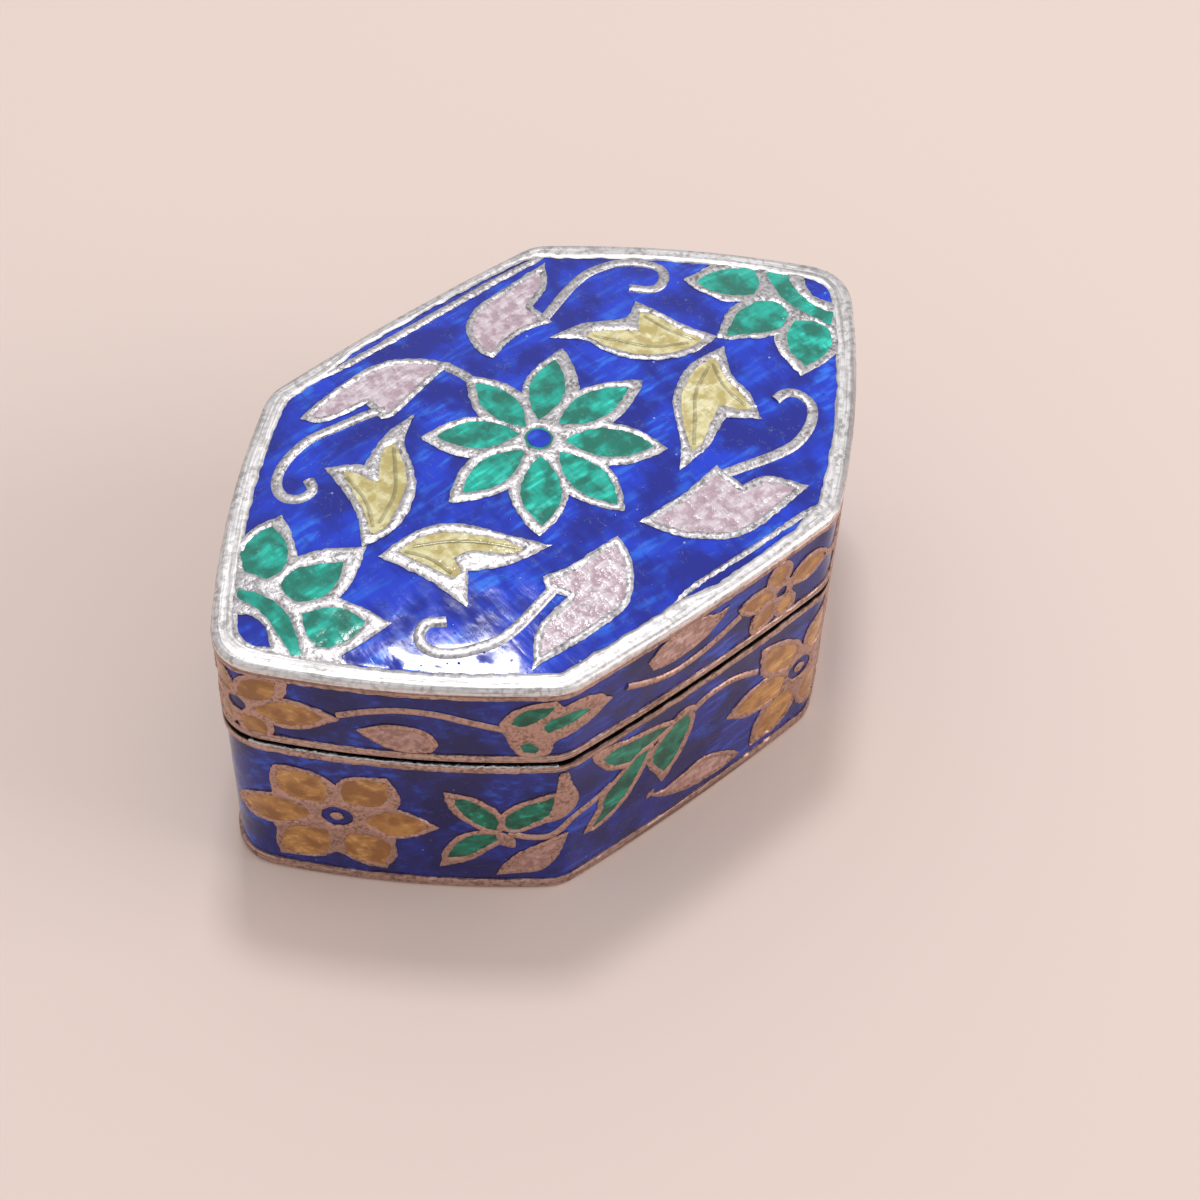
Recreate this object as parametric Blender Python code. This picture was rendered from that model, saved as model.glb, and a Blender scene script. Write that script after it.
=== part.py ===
"""A small cloisonne enamel box: a silver tray and a lift-off lid, inlaid with coloured enamel."""

import math

import bmesh
import bpy

MM = 0.001

# Plan of the box: a long hexagon, measured between its corners before they are rounded
PLAN_LENGTH = 43.0 * MM
PLAN_WIDTH = 25.0 * MM
LONG_SIDE = 18.1 * MM
END_SIDE_BOW = 0.7 * MM
LONG_SIDE_BOW = 0.3 * MM
TIP_ROUNDING = 2.2 * MM
CORNER_ROUNDING = 0.8 * MM

# Heights
TRAY_HEIGHT = 11.65 * MM
SEAM_GAP = 0.35 * MM
LID_HEIGHT = 6.2 * MM
LID_DOME = 1.1 * MM
DOME_MARGIN = 0.5 * MM
DOME_FULLNESS = 0.7

# Silver sheet
WALL = 1.2 * MM
FLOOR = 1.0 * MM
LID_PLATE = 1.2 * MM
EDGE_CHAMFER = 0.2 * MM

# The inner lip of the tray, which the lid slips over
LIP_RISE = 2.0 * MM
LIP_DROP = 2.0 * MM
LIP_THICKNESS = 0.6 * MM
LIP_CLEARANCE = 0.3 * MM

# Silver borders of the enamel fields
TOP_RIM = 1.1 * MM
LID_UPPER_BORDER = 0.9 * MM
LID_LOWER_BORDER = 0.5 * MM
TRAY_UPPER_BORDER = 0.65 * MM
TRAY_LOWER_BORDER = 0.8 * MM

# Enamel
CELL_DEPTH = 0.45 * MM
ENAMEL_SINK = 0.04 * MM
ENAMEL_FIT = 0.06 * MM

# Silver lines around the leaves and along the stems
LINE_WIDTH = 0.5 * MM
STEM_WIDTH = 0.5 * MM
STROKE_TAPER = 0.6

# How finely the outlines are cut into straight steps
END_SIDE_STEPS = 2
LONG_SIDE_STEPS = 2
TIP_STEPS = 2
CORNER_STEPS = 1
PETAL_STEPS = 3
SMALL_LEAF_STEPS = 2
LEAF_STEP = 2.4
SHOULDER = 0.58
DOME_SPACING = 6.7 * MM

# The ornament is drawn on sheets of these sizes, which are stretched onto the lid and the sides.
# Each drawing of a side reaches so far up and down, and keeps a clearance from the sheet's edges.
LID_SHEET = (43.0, 25.0)
HALF_TURN_SHEET = 52.9
TRAY_SHEET_HEIGHT = 9.8
LID_SHEET_HEIGHT = 5.0
TRAY_DRAWN_REACH = 4.6
LID_DRAWN_REACH = 2.1
TRAY_TIP_CLEARANCE = 0.3
LID_TIP_CLEARANCE = 0.4

LID_BOTTOM = TRAY_HEIGHT + SEAM_GAP
LID_TOP = LID_BOTTOM + LID_HEIGHT
OVERCUT = 0.5 * MM
WELD = 0.001 * MM
FLAT_ANGLE = math.radians(1)

SILVER = ("silver", (0.83, 0.81, 0.80), 0.34, 1.0)
COBALT = ("cobalt_enamel", (0.012, 0.035, 0.42), 0.12, 0.0)
EMERALD = ("emerald_enamel", (0.0, 0.24, 0.13), 0.14, 0.0)
YELLOW = ("yellow_enamel", (0.62, 0.55, 0.24), 0.2, 0.0)
PINK = ("pink_enamel", (0.68, 0.52, 0.58), 0.25, 0.0)


# Outlines in the plane

def side_points(start, end, trims, bow, steps):
    """Points along one bowed side, leaving the trimmed lengths at its ends to the rounded corners."""
    dx, dy = end[0] - start[0], end[1] - start[1]
    length = math.hypot(dx, dy)
    first, last = trims[0] / length, 1 - trims[1] / length
    points = []
    for step in range(steps + 1):
        share = first + (last - first) * step / steps
        push = 4 * share * (1 - share) * bow / length
        points.append((start[0] + dx * share + dy * push, start[1] + dy * share - dx * push))
    return points


def rounded(start, corner, end, steps):
    """The points between two sides, on a curve that leaves both in their own directions."""
    points = []
    for step in range(1, steps):
        t = step / steps
        a, b, c = (1 - t) ** 2, 2 * t * (1 - t), t * t
        points.append((a * start[0] + b * corner[0] + c * end[0], a * start[1] + b * corner[1] + c * end[1]))
    return points


def plan_corners():
    """The six corners of the hexagon, anticlockwise from the tip at -X."""
    half_length, half_width, half_side = PLAN_LENGTH / 2, PLAN_WIDTH / 2, LONG_SIDE / 2
    return [(-half_length, 0), (-half_side, -half_width), (half_side, -half_width),
            (half_length, 0), (half_side, half_width), (-half_side, half_width)]


def plan_outline():
    """The outer outline of the box, anticlockwise from the middle of the rounded tip at -X."""
    corners = plan_corners()
    roundings = [TIP_ROUNDING if index % 3 == 0 else CORNER_ROUNDING for index in range(6)]
    sides = []
    for index in range(6):
        after = (index + 1) % 6
        is_long = index % 3 == 1
        bow = LONG_SIDE_BOW if is_long else END_SIDE_BOW
        steps = LONG_SIDE_STEPS if is_long else END_SIDE_STEPS
        trims = roundings[index], roundings[after]
        sides.append(side_points(corners[index], corners[after], trims, bow, steps))
    points = []
    for index in range(6):
        after = (index + 1) % 6
        steps = TIP_STEPS if after % 3 == 0 else CORNER_STEPS
        points += sides[index] + rounded(sides[index][-1], corners[after], sides[after][0], steps)
    tip_half = TIP_STEPS // 2
    return points[-tip_half:] + points[:-tip_half]


def grown(points, distance):
    """An anticlockwise outline moved outwards by a distance, or inwards when it is negative."""
    moved = []
    for index, (x, y) in enumerate(points):
        before, after = points[index - 1], points[(index + 1) % len(points)]
        normals = []
        for start, end in ((before, (x, y)), ((x, y), after)):
            dx, dy = end[0] - start[0], end[1] - start[1]
            length = math.hypot(dx, dy)
            normals.append((dy / length, -dx / length))
        nx, ny = normals[0][0] + normals[1][0], normals[0][1] + normals[1][1]
        square = max(nx * nx + ny * ny, 0.5)
        moved.append((x + 2 * distance * nx / square, y + 2 * distance * ny / square))
    return moved


def leaf(base, tip, half_width, belly=0.5, steps=PETAL_STEPS):
    """A leaf pointed at both ends, widest at the share of its length that belly gives."""
    dx, dy = tip[0] - base[0], tip[1] - base[1]
    length = math.hypot(dx, dy)
    power = math.log(0.5) / math.log(belly)

    def at(share, side):
        width = side * half_width * math.sin(math.pi * share ** power) / length
        return (base[0] + dx * share - dy * width, base[1] + dy * share + dx * width)

    shares = [step / (steps + 1) for step in range(1, steps + 1)]
    return [base] + [at(share, -1) for share in shares] + [tip] + [at(share, 1) for share in reversed(shares)]


def small_leaf(base, tip, half_width, belly=0.5):
    """A leaf with fewer points, for the small cells and the ornament of the sides."""
    return leaf(base, tip, half_width, belly, SMALL_LEAF_STEPS)


def spray(centre, leaves, valley):
    """One outline of leaves around a centre, anticlockwise. Each is its tip from there and its half width."""
    points = []
    for index, (x, y, half_width) in enumerate(leaves):
        length = math.hypot(x, y)
        across_x, across_y = -y / length * half_width, x / length * half_width
        next_x, next_y, _ = leaves[(index + 1) % len(leaves)]
        next_length = math.hypot(next_x, next_y)
        between_x, between_y = x / length + next_x / next_length, y / length + next_y / next_length
        between = math.hypot(between_x, between_y)
        points.append((SHOULDER * x - across_x, SHOULDER * y - across_y))
        points.append((x, y))
        points.append((SHOULDER * x + across_x, SHOULDER * y + across_y))
        points.append((valley * between_x / between, valley * between_y / between))
    return [(centre[0] + x, centre[1] + y) for x, y in points]


def bowed(corners):
    """A closed anticlockwise outline. Each corner is x, y and the bow of the edge that follows it."""
    points = []
    for index, (x, y, bow) in enumerate(corners):
        end = corners[(index + 1) % len(corners)]
        dx, dy = end[0] - x, end[1] - y
        steps = max(1, round(math.hypot(dx, dy) / LEAF_STEP)) if bow else 1
        for step in range(steps):
            share = step / steps
            push = 4 * share * (1 - share) * bow
            points.append((x + dx * share + dy * push, y + dy * share - dx * push))
    return points


def arch(start, end, bow, steps=2):
    """Points of an open line between two ends, bowed to the right of its direction."""
    dx, dy = end[0] - start[0], end[1] - start[1]
    points = []
    for step in range(steps + 1):
        share = step / steps
        push = 4 * share * (1 - share) * bow
        points.append((start[0] + dx * share + dy * push, start[1] + dy * share - dx * push))
    return points


def curl(centre, radius_start, radius_end, angle_start, angle_end, steps=5):
    """Points of an arc or a spiral hook, with its angles in degrees."""
    points = []
    for step in range(steps + 1):
        share = step / steps
        radius = radius_start + (radius_end - radius_start) * share
        angle = math.radians(angle_start + (angle_end - angle_start) * share)
        points.append((centre[0] + radius * math.cos(angle), centre[1] + radius * math.sin(angle)))
    return points


def stroke(path, width):
    """The outline of a line of some width along a path, narrower at its two ends."""
    left, right = [], []
    last = len(path) - 1
    for index, (x, y) in enumerate(path):
        before, after = path[max(index - 1, 0)], path[min(index + 1, last)]
        dx, dy = after[0] - before[0], after[1] - before[1]
        half = width / 2 * (STROKE_TAPER if index in (0, last) else 1.0) / math.hypot(dx, dy)
        left.append((x - dy * half, y + dx * half))
        right.append((x + dy * half, y - dx * half))
    return right + left[::-1]


def disc(centre, radius, sides=8):
    """A round spot."""
    turn = 2 * math.pi / sides
    cx, cy = centre
    return [(cx + radius * math.cos(turn * k), cy + radius * math.sin(turn * k)) for k in range(sides)]


def mirrored(points, side_x, side_y):
    """An outline flipped by two signs, kept anticlockwise."""
    flipped = [(x * side_x, y * side_y) for x, y in points]
    return flipped if side_x * side_y > 0 else flipped[::-1]


# The ornament of the lid's top, drawn on its sheet

def on_lid(points):
    """A shape from the lid's sheet in the plan of the box."""
    scale_x, scale_y = PLAN_LENGTH / LID_SHEET[0], PLAN_WIDTH / LID_SHEET[1]
    return [(x * scale_x, y * scale_y) for x, y in points]


def centre_flower():
    """Silver shapes and enamel cells of the eight-petalled flower in the middle."""
    turn = math.pi / 4
    petals = [(6.5 * math.cos(turn * index), 6.4 * math.sin(turn * index), 1.42) for index in range(8)]
    silver = [on_lid(spray((0, 0), petals, 3.35))]
    cells = [("flower_eye", COBALT, on_lid(disc((0, 0), 0.65)))]
    for index in range(8):
        along = (math.cos(turn * index), math.sin(turn * index))
        cell = small_leaf((1.25 * along[0], 1.25 * along[1]), (5.65 * along[0], 5.55 * along[1]), 0.95, 0.52)
        cells.append((f"flower_petal_{index + 1}", EMERALD, on_lid(cell)))
    return silver, cells


def tendril_line():
    """The path of a tendril: an arched stem that ends in a hook."""
    return arch((5.6, 7.5), (11.2, 7.95), -0.08) + curl((11.75, 6.5), 1.5, 0.75, 110, -140)[1:]


def quarter_leaves(side_x, side_y, number):
    """The two-lobed yellow leaf, and the two-lobed pink leaf with its tendril, in one quarter."""
    yellow = bowed([(11.8, 0.5, -0.03), (10.1, 5.6, 0.08), (8.7, 4.5, 0.08), (4.4, 5.8, 0.19)])
    pink = bowed([(5.9, 6.6, 0), (5.6, 8.3, 0.14), (9.1, 10.4, 0.06), (2.4, 10.2, 0.13), (0.9, 7.3, 0.02)])
    tendril = on_lid(mirrored(tendril_line(), side_x, side_y))
    silver = [stroke(tendril, STEM_WIDTH)]
    cells = []
    for name, material, shape in (("yellow_leaf", YELLOW, yellow), ("pink_leaf", PINK, pink)):
        outline = on_lid(mirrored(shape, side_x, side_y))
        silver.append(outline)
        cells.append((f"{name}_{number}", material, grown(outline, -LINE_WIDTH)))
    return silver, cells


def tip_flower(side, number):
    """The half flower at one tip of the lid: three petals, an arc and a heart in a silver ground."""
    def place(points):
        return on_lid(mirrored(points, side, 1))

    block = bowed([(24, -5, 0), (24, 5, 0), (18.2, 5, 0), (17.7, 3.2, 0.2), (17.7, -3.2, 0), (18.2, -5, 0)])
    silver = [place(block), place(leaf((17.4, 0), (11.9, 0), 1.6, 0.42))]
    cells = [(f"corner_petal_{3 * number - 2}", EMERALD, place(small_leaf((16.3, 0), (12.8, 0), 1.1, 0.42)))]
    for index, up in enumerate((1, -1)):
        silver.append(place(mirrored(leaf((17.8, 1.9), (13.7, 4.6), 1.45), 1, up)))
        petal = mirrored(small_leaf((17.1, 2.4), (14.4, 4.05), 1.0), 1, up)
        cells.append((f"corner_petal_{3 * number - 1 + index}", EMERALD, place(petal)))
    arc = curl((21.2, 0), 3.9, 3.9, 216, 144, 4)
    arc_width = 0.75 * PLAN_WIDTH / LID_SHEET[1]
    cells.append((f"corner_arc_{number}", EMERALD, stroke(place(arc), arc_width)))
    cells.append((f"corner_heart_{number}", COBALT, place(small_leaf((19.1, -1.25), (19.1, 1.25), 0.5))))
    return silver, cells


def lid_ornament():
    """All silver shapes and all enamel cells of the lid's top."""
    parts = [centre_flower()]
    quarters = [(1, 1), (-1, 1), (-1, -1), (1, -1)]
    parts += [quarter_leaves(side_x, side_y, number + 1) for number, (side_x, side_y) in enumerate(quarters)]
    parts += [tip_flower(-1, 1), tip_flower(1, 2)]
    silver = [shape for shapes, _ in parts for shape in shapes]
    cells = [cell for _, group in parts for cell in group]
    return silver, cells


# The ornament of the sides, drawn on sheets of half a turn each

def side_flower(u, v, lying, slanting, valley):
    """A flower of six petals: two lying along the band and four slanting to its edges."""
    reach, half_width = lying
    lean, rise, slanting_half = slanting
    right = [(lean, -rise, slanting_half), (reach, 0, half_width), (lean, rise, slanting_half)]
    left = [(-x, -y, half) for x, y, half in right]
    return spray((u, v), right + left, valley)


def fitted(shapes, sheet_height, reach, clearance):
    """Shapes stretched up and down until their drawn reach keeps the clearance from the sheet's edges."""
    stretch = (sheet_height / 2 - clearance) / reach
    return [[(u, v * stretch) for u, v in shape] for shape in shapes]


def tray_shapes():
    """Silver shapes of half a turn of the tray, v measured from the middle of the band."""
    shapes = [
        side_flower(5.5, 0.2, (5.3, 1.45), (3.1, 4.4, 1.45), 2.1),
        spray((14.3, 0.1), [(2.9, 3.5, 1.25), (-3.1, 3.5, 1.25), (-3.4, -3.7, 1.25)], 0.7),
        small_leaf((17.8, 5.4), (16.7, 0.8), 0.75),
        small_leaf((17.8, -0.9), (13.8, -4.4), 1.25, 0.6),
        spray((24.3, 2.7), [(1.7, 1.5, 1.0), (-5.1, 1.8, 1.1), (-5.5, -4.2, 1.2), (-0.1, -3.6, 1.2)], 1.0),
        small_leaf((23.0, -1.9), (30.0, -4.3), 1.2),
        side_flower(34.3, 0.2, (5.3, 1.45), (3.1, 4.4, 1.45), 2.1),
        spray((43.2, -0.1), [(3.1, -3.5, 1.25), (-2.9, 3.7, 1.25), (-2.9, -3.5, 1.25)], 0.7),
        small_leaf((46.0, 1.6), (51.0, 4.2), 1.2),
    ]
    return fitted(shapes, TRAY_SHEET_HEIGHT, TRAY_DRAWN_REACH, TRAY_TIP_CLEARANCE)


def lid_side_shapes():
    """Silver shapes of half a turn of the lid's side, v measured from the middle of the band."""
    shapes = [
        side_flower(0.2, 0, (5.2, 1.0), (1.7, 2.0, 0.65), 1.75),
        small_leaf((6.9, -0.6), (10.9, -1.5), 0.9, 0.6),
        spray((15.5, -0.1), [(4.8, 0.4, 0.8), (1.5, 2.1, 0.6), (-1.5, 0.5, 0.6), (0.2, -2.0, 0.6)], 1.6),
        small_leaf((22.7, 1.2), (27.6, 1.5), 0.85, 0.45),
        side_flower(31.8, 0, (3.6, 0.8), (1.5, 2.0, 0.6), 1.6),
        small_leaf((36.8, -0.7), (40.8, -1.5), 0.9, 0.6),
        spray((44.0, -0.1), [(3.6, 0.3, 0.75), (1.3, 2.1, 0.55), (-1.5, 0.5, 0.5), (0.1, -2.0, 0.5)], 1.5),
    ]
    return fitted(shapes, LID_SHEET_HEIGHT, LID_DRAWN_REACH, LID_TIP_CLEARANCE)


def around_box(shapes, sheet_height, low, high, turn):
    """Half a turn of shapes repeated around the box, as outlines of distance along it and height."""
    half = turn / 2
    scale_u, scale_v = half / HALF_TURN_SHEET, (high - low) / sheet_height
    placed = []
    for repeat in range(-1, 3):
        for shape in shapes:
            points = [(u * scale_u + repeat * half, (low + high) / 2 + v * scale_v) for u, v in shape]
            if max(u for u, _ in points) > 0 and min(u for u, _ in points) < turn:
                placed.append(points)
    return placed


# Solids

def link(name, mesh, collection, material=None):
    """A new object in a collection, with one material."""
    obj = bpy.data.objects.new(name, mesh)
    collection.objects.link(obj)
    if material:
        mesh.materials.clear()
        mesh.materials.append(material)
    return obj


def finished(bm, name):
    """A mesh from an edited one, with its faces pointing outwards."""
    bmesh.ops.recalc_face_normals(bm, faces=bm.faces)
    mesh = bpy.data.meshes.new(name)
    bm.to_mesh(mesh)
    bm.free()
    return mesh


def edited(mesh):
    """A mesh opened for editing."""
    bm = bmesh.new()
    bm.from_mesh(mesh)
    return bm


def plates(name, outlines, low, high, scratch):
    """One upright plate for each outline, all in one mesh; the plates may overlap."""
    bm = bmesh.new()
    for outline in outlines:
        curve = bpy.data.curves.new(name, "CURVE")
        curve.dimensions = "2D"
        curve.fill_mode = "BOTH"
        curve.extrude = (high - low) / 2
        spline = curve.splines.new("POLY")
        spline.points.add(len(outline) - 1)
        spline.use_cyclic_u = True
        for point, (x, y) in zip(spline.points, outline):
            point.co = (x, y, 0, 1)
        holder = link(name, curve, scratch)
        holder.location.z = (low + high) / 2
        bpy.context.view_layer.update()
        evaluated = holder.evaluated_get(bpy.context.evaluated_depsgraph_get())
        mesh = bpy.data.meshes.new_from_object(evaluated)
        mesh.transform(holder.matrix_world)
        plate = edited(mesh)
        bmesh.ops.remove_doubles(plate, verts=plate.verts, dist=WELD)
        bmesh.ops.dissolve_limit(plate, angle_limit=FLAT_ANGLE, verts=plate.verts, edges=plate.edges)
        bmesh.ops.recalc_face_normals(plate, faces=plate.faces)
        plate.to_mesh(mesh)
        plate.free()
        bm.from_mesh(mesh)
        bpy.data.objects.remove(holder)
        bpy.data.curves.remove(curve)
        bpy.data.meshes.remove(mesh)
    joined = bpy.data.meshes.new(name)
    bm.to_mesh(joined)
    bm.free()
    return joined


def cut(name, mesh, tool_mesh, scratch, overlapping=False):
    """A mesh with another one cut away; an overlapping tool holds plates that cross each other."""
    solid = link(name, mesh, scratch)
    tool = link(name + "_tool", tool_mesh, scratch)
    modifier = solid.modifiers.new("cut", "BOOLEAN")
    modifier.operation = "DIFFERENCE"
    modifier.solver = "EXACT"
    modifier.use_self = overlapping
    modifier.object = tool
    bpy.context.view_layer.update()
    evaluated = solid.evaluated_get(bpy.context.evaluated_depsgraph_get())
    result = bpy.data.meshes.new_from_object(evaluated)
    bpy.data.objects.remove(solid)
    bpy.data.objects.remove(tool)
    bm = edited(result)
    bmesh.ops.remove_doubles(bm, verts=bm.verts, dist=WELD)
    bmesh.ops.dissolve_limit(bm, angle_limit=FLAT_ANGLE, verts=bm.verts, edges=bm.edges)
    return finished(bm, name)


def keep_largest(bm):
    """Drops every loose piece but the one with the most corners."""
    groups = []
    unseen = set(bm.verts)
    while unseen:
        group = {unseen.pop()}
        waiting = list(group)
        while waiting:
            vert = waiting.pop()
            for edge in vert.link_edges:
                other = edge.other_vert(vert)
                if other in unseen:
                    unseen.discard(other)
                    group.add(other)
                    waiting.append(other)
        groups.append(group)
    groups.sort(key=len)
    spare = [vert for group in groups[:-1] for vert in group]
    bmesh.ops.delete(bm, geom=spare, context="VERTS")


def swept(name, outline, profile):
    """A body whose wall follows the outline: each step of the profile is an inset and a height."""
    bm = bmesh.new()
    rings = []
    for inset, height in profile:
        rings.append([bm.verts.new((x, y, height)) for x, y in grown(outline, -inset)])
    count = len(outline)
    for lower, upper in zip(rings, rings[1:]):
        for index in range(count):
            after = (index + 1) % count
            bm.faces.new((lower[index], lower[after], upper[after], upper[index]))
    bm.faces.new(rings[0])
    bm.faces.new(rings[-1])
    return finished(bm, name)


def bisected(bm, axis, places, faces=None):
    """Cuts faces along planes square to an axis, so that they can bend there."""
    normal = [0, 0, 0]
    normal[axis] = 1
    for place in places:
        point = [0, 0, 0]
        point[axis] = place
        chosen = list(bm.faces) if faces is None else [face for face in bm.faces if faces(face)]
        edges = {edge for face in chosen for edge in face.edges}
        verts = {vert for face in chosen for vert in face.verts}
        geom = chosen + list(edges) + list(verts)
        bmesh.ops.bisect_plane(bm, geom=geom, dist=WELD, plane_co=point, plane_no=normal)


def distances_along(outline):
    """The distance from the first point of the outline to each of its points, and the whole turn."""
    distances = [0.0]
    for index, (x, y) in enumerate(outline):
        after = outline[(index + 1) % len(outline)]
        distances.append(distances[-1] + math.hypot(after[0] - x, after[1] - y))
    return distances


def wrapped(name, mesh, outline):
    """Bends a flat strip around the outline. Its x runs along it, y is height and z is outwards."""
    distances = distances_along(outline)
    turn = distances[-1]
    bm = edited(mesh)
    bisected(bm, 0, distances[1:-1])
    ends = [face for face in bm.faces if all(abs(vert.co.x) < WELD for vert in face.verts)
            or all(abs(vert.co.x - turn) < WELD for vert in face.verts)]
    bmesh.ops.delete(bm, geom=ends, context="FACES_ONLY")
    offsets = {}
    for vert in bm.verts:
        u, height, out = vert.co
        key = round(out / WELD)
        if key not in offsets:
            offsets[key] = grown(outline, out)
        ring = offsets[key]
        index = max(k for k in range(len(outline)) if distances[k] <= u + WELD)
        share = (u - distances[index]) / (distances[index + 1] - distances[index])
        start, end = ring[index], ring[(index + 1) % len(ring)]
        vert.co = (start[0] + (end[0] - start[0]) * share, start[1] + (end[1] - start[1]) * share, height)
    bmesh.ops.remove_doubles(bm, verts=bm.verts, dist=WELD)
    bmesh.ops.connect_verts_nonplanar(bm, angle_limit=FLAT_ANGLE, faces=bm.faces)
    keep_largest(bm)
    return finished(bm, name)


def band(name, outline, shapes, low, high, inner, outer, gap, scratch):
    """A ring around the box between two heights and two distances from its face, with holes."""
    turn = distances_along(outline)[-1]
    field = [(0, low + gap), (turn, low + gap), (turn, high - gap), (0, high - gap)]
    strip = plates(name, [field], inner, outer, scratch)
    holes = plates(name, [grown(shape, gap) for shape in shapes], inner - OVERCUT, outer + OVERCUT, scratch)
    return wrapped(name, cut(name, strip, holes, scratch, overlapping=True), outline)


# The dome of the lid

def dome_at(x, y):
    """How far the lid's top rises at a place: a pillow that starts just inside its edge."""
    corners = plan_corners()
    rise = 1.0
    for index in range(3):
        (x0, y0), (x1, y1) = corners[index], corners[index + 1]
        length = math.hypot(x1 - x0, y1 - y0)
        nx, ny = (y1 - y0) / length, -(x1 - x0) / length
        reach = nx * x0 + ny * y0 - DOME_MARGIN
        rise *= max(0.0, 1 - ((nx * x + ny * y) / reach) ** 2)
    return LID_DOME * rise ** DOME_FULLNESS


def domed(mesh, name, lowest):
    """A mesh with everything above a height lifted onto the dome, on faces small enough to follow it."""
    bm = edited(mesh)

    def is_level(face):
        return all(vert.co.z > lowest for vert in face.verts) and abs(face.normal.z) > 0.5

    for axis, length in enumerate((PLAN_LENGTH, PLAN_WIDTH)):
        cuts = max(1, round(length / DOME_SPACING))
        spacing = length / cuts
        bisected(bm, axis, [spacing * (k - (cuts - 1) / 2) for k in range(cuts)], is_level)
    level = [face for face in bm.faces if is_level(face)]
    bmesh.ops.triangulate(bm, faces=level)
    for vert in bm.verts:
        if vert.co.z > lowest:
            vert.co.z += dome_at(vert.co.x, vert.co.y)
    return finished(bm, name)


# The pieces of the box

def build_tray(outline, collection, scratch, materials):
    """The silver tray with its inner lip, and the cobalt band around it."""
    lip_outer = WALL + LIP_CLEARANCE
    lip_inner = lip_outer + LIP_THICKNESS
    lip_top = TRAY_HEIGHT + LIP_RISE
    lip_bottom = TRAY_HEIGHT - LIP_DROP
    profile = [(EDGE_CHAMFER, 0), (0, EDGE_CHAMFER), (0, TRAY_HEIGHT - EDGE_CHAMFER), (EDGE_CHAMFER, TRAY_HEIGHT),
               (lip_outer, TRAY_HEIGHT), (lip_outer, lip_top - EDGE_CHAMFER), (lip_outer + EDGE_CHAMFER, lip_top),
               (lip_inner, lip_top), (lip_inner, lip_bottom), (WALL, lip_bottom), (WALL, FLOOR)]
    low, high = TRAY_LOWER_BORDER, TRAY_HEIGHT - TRAY_UPPER_BORDER
    shapes = around_box(tray_shapes(), TRAY_SHEET_HEIGHT, low, high, distances_along(outline)[-1])
    recess = band("tray_recess", outline, shapes, low, high, -CELL_DEPTH, OVERCUT, 0, scratch)
    body = cut("base_body", swept("base_body", outline, profile), recess, scratch, overlapping=True)
    link("base_body", body, collection, materials["silver"])
    enamel = band("base_side_enamel", outline, shapes, low, high,
                  -CELL_DEPTH + ENAMEL_FIT, -ENAMEL_SINK, ENAMEL_FIT, scratch)
    link("base_side_enamel", enamel, collection, materials["cobalt_enamel"])


def build_lid(outline, collection, scratch, materials):
    """The silver lid with its cells, the enamel of its top and the cobalt band around its side."""
    ceiling = LID_TOP - LID_PLATE
    profile = [(WALL, ceiling), (WALL, LID_BOTTOM), (EDGE_CHAMFER, LID_BOTTOM), (0, LID_BOTTOM + EDGE_CHAMFER),
               (0, LID_TOP - EDGE_CHAMFER), (EDGE_CHAMFER, LID_TOP)]
    silver, cells = lid_ornament()
    field = grown(outline, -TOP_RIM)
    cell_floor = LID_TOP - CELL_DEPTH

    low, high = LID_BOTTOM + LID_LOWER_BORDER, LID_TOP - LID_UPPER_BORDER
    shapes = around_box(lid_side_shapes(), LID_SHEET_HEIGHT, low, high, distances_along(outline)[-1])
    recess = band("lid_recess", outline, shapes, low, high, -CELL_DEPTH, OVERCUT, 0, scratch)
    enamel = band("lid_side_enamel", outline, shapes, low, high,
                  -CELL_DEPTH + ENAMEL_FIT, -ENAMEL_SINK, ENAMEL_FIT, scratch)
    link("lid_side_enamel", enamel, collection, materials["cobalt_enamel"])

    ground_tool = top_ground("ground_tool", field, silver, 0, cell_floor, LID_TOP + OVERCUT, scratch)
    cell_shapes = [shape for _, _, shape in cells]
    cell_tools = plates("cell_tools", cell_shapes, cell_floor, LID_TOP + OVERCUT, scratch)
    body = cut("lid_body", swept("lid_body", outline, profile), recess, scratch, overlapping=True)
    body = cut("lid_body", body, ground_tool, scratch)
    body = cut("lid_body", body, cell_tools, scratch)
    link("lid_body", domed(body, "lid_body", ceiling - WELD), collection, materials["silver"])

    bottom, top = cell_floor + ENAMEL_FIT, LID_TOP - ENAMEL_SINK
    ground = top_ground("lid_top_ground", field, silver, ENAMEL_FIT, bottom, top, scratch)
    link("lid_top_ground", domed(ground, "lid_top_ground", ceiling), collection, materials["cobalt_enamel"])
    for name, material, shape in cells:
        cell = plates(name, [grown(shape, -ENAMEL_FIT)], bottom, top, scratch)
        link(name, domed(cell, name, ceiling), collection, materials[material[0]])


def top_ground(name, field, silver, gap, low, high, scratch):
    """The ground of the lid's top: the field inside the rim without the silver shapes."""
    sheet = plates(name, [grown(field, -gap)], low, high, scratch)
    holes = plates(name, [grown(shape, gap) for shape in silver], low - OVERCUT, high + OVERCUT, scratch)
    bm = edited(cut(name, sheet, holes, scratch, overlapping=True))
    keep_largest(bm)
    return finished(bm, name)


def make_material(name, colour, roughness, metallic):
    """A Principled material."""
    material = bpy.data.materials.new(name)
    material.use_nodes = True
    shader = material.node_tree.nodes["Principled BSDF"]
    shader.inputs["Base Color"].default_value = (*colour, 1.0)
    shader.inputs["Roughness"].default_value = roughness
    shader.inputs["Metallic"].default_value = metallic
    return material


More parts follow.
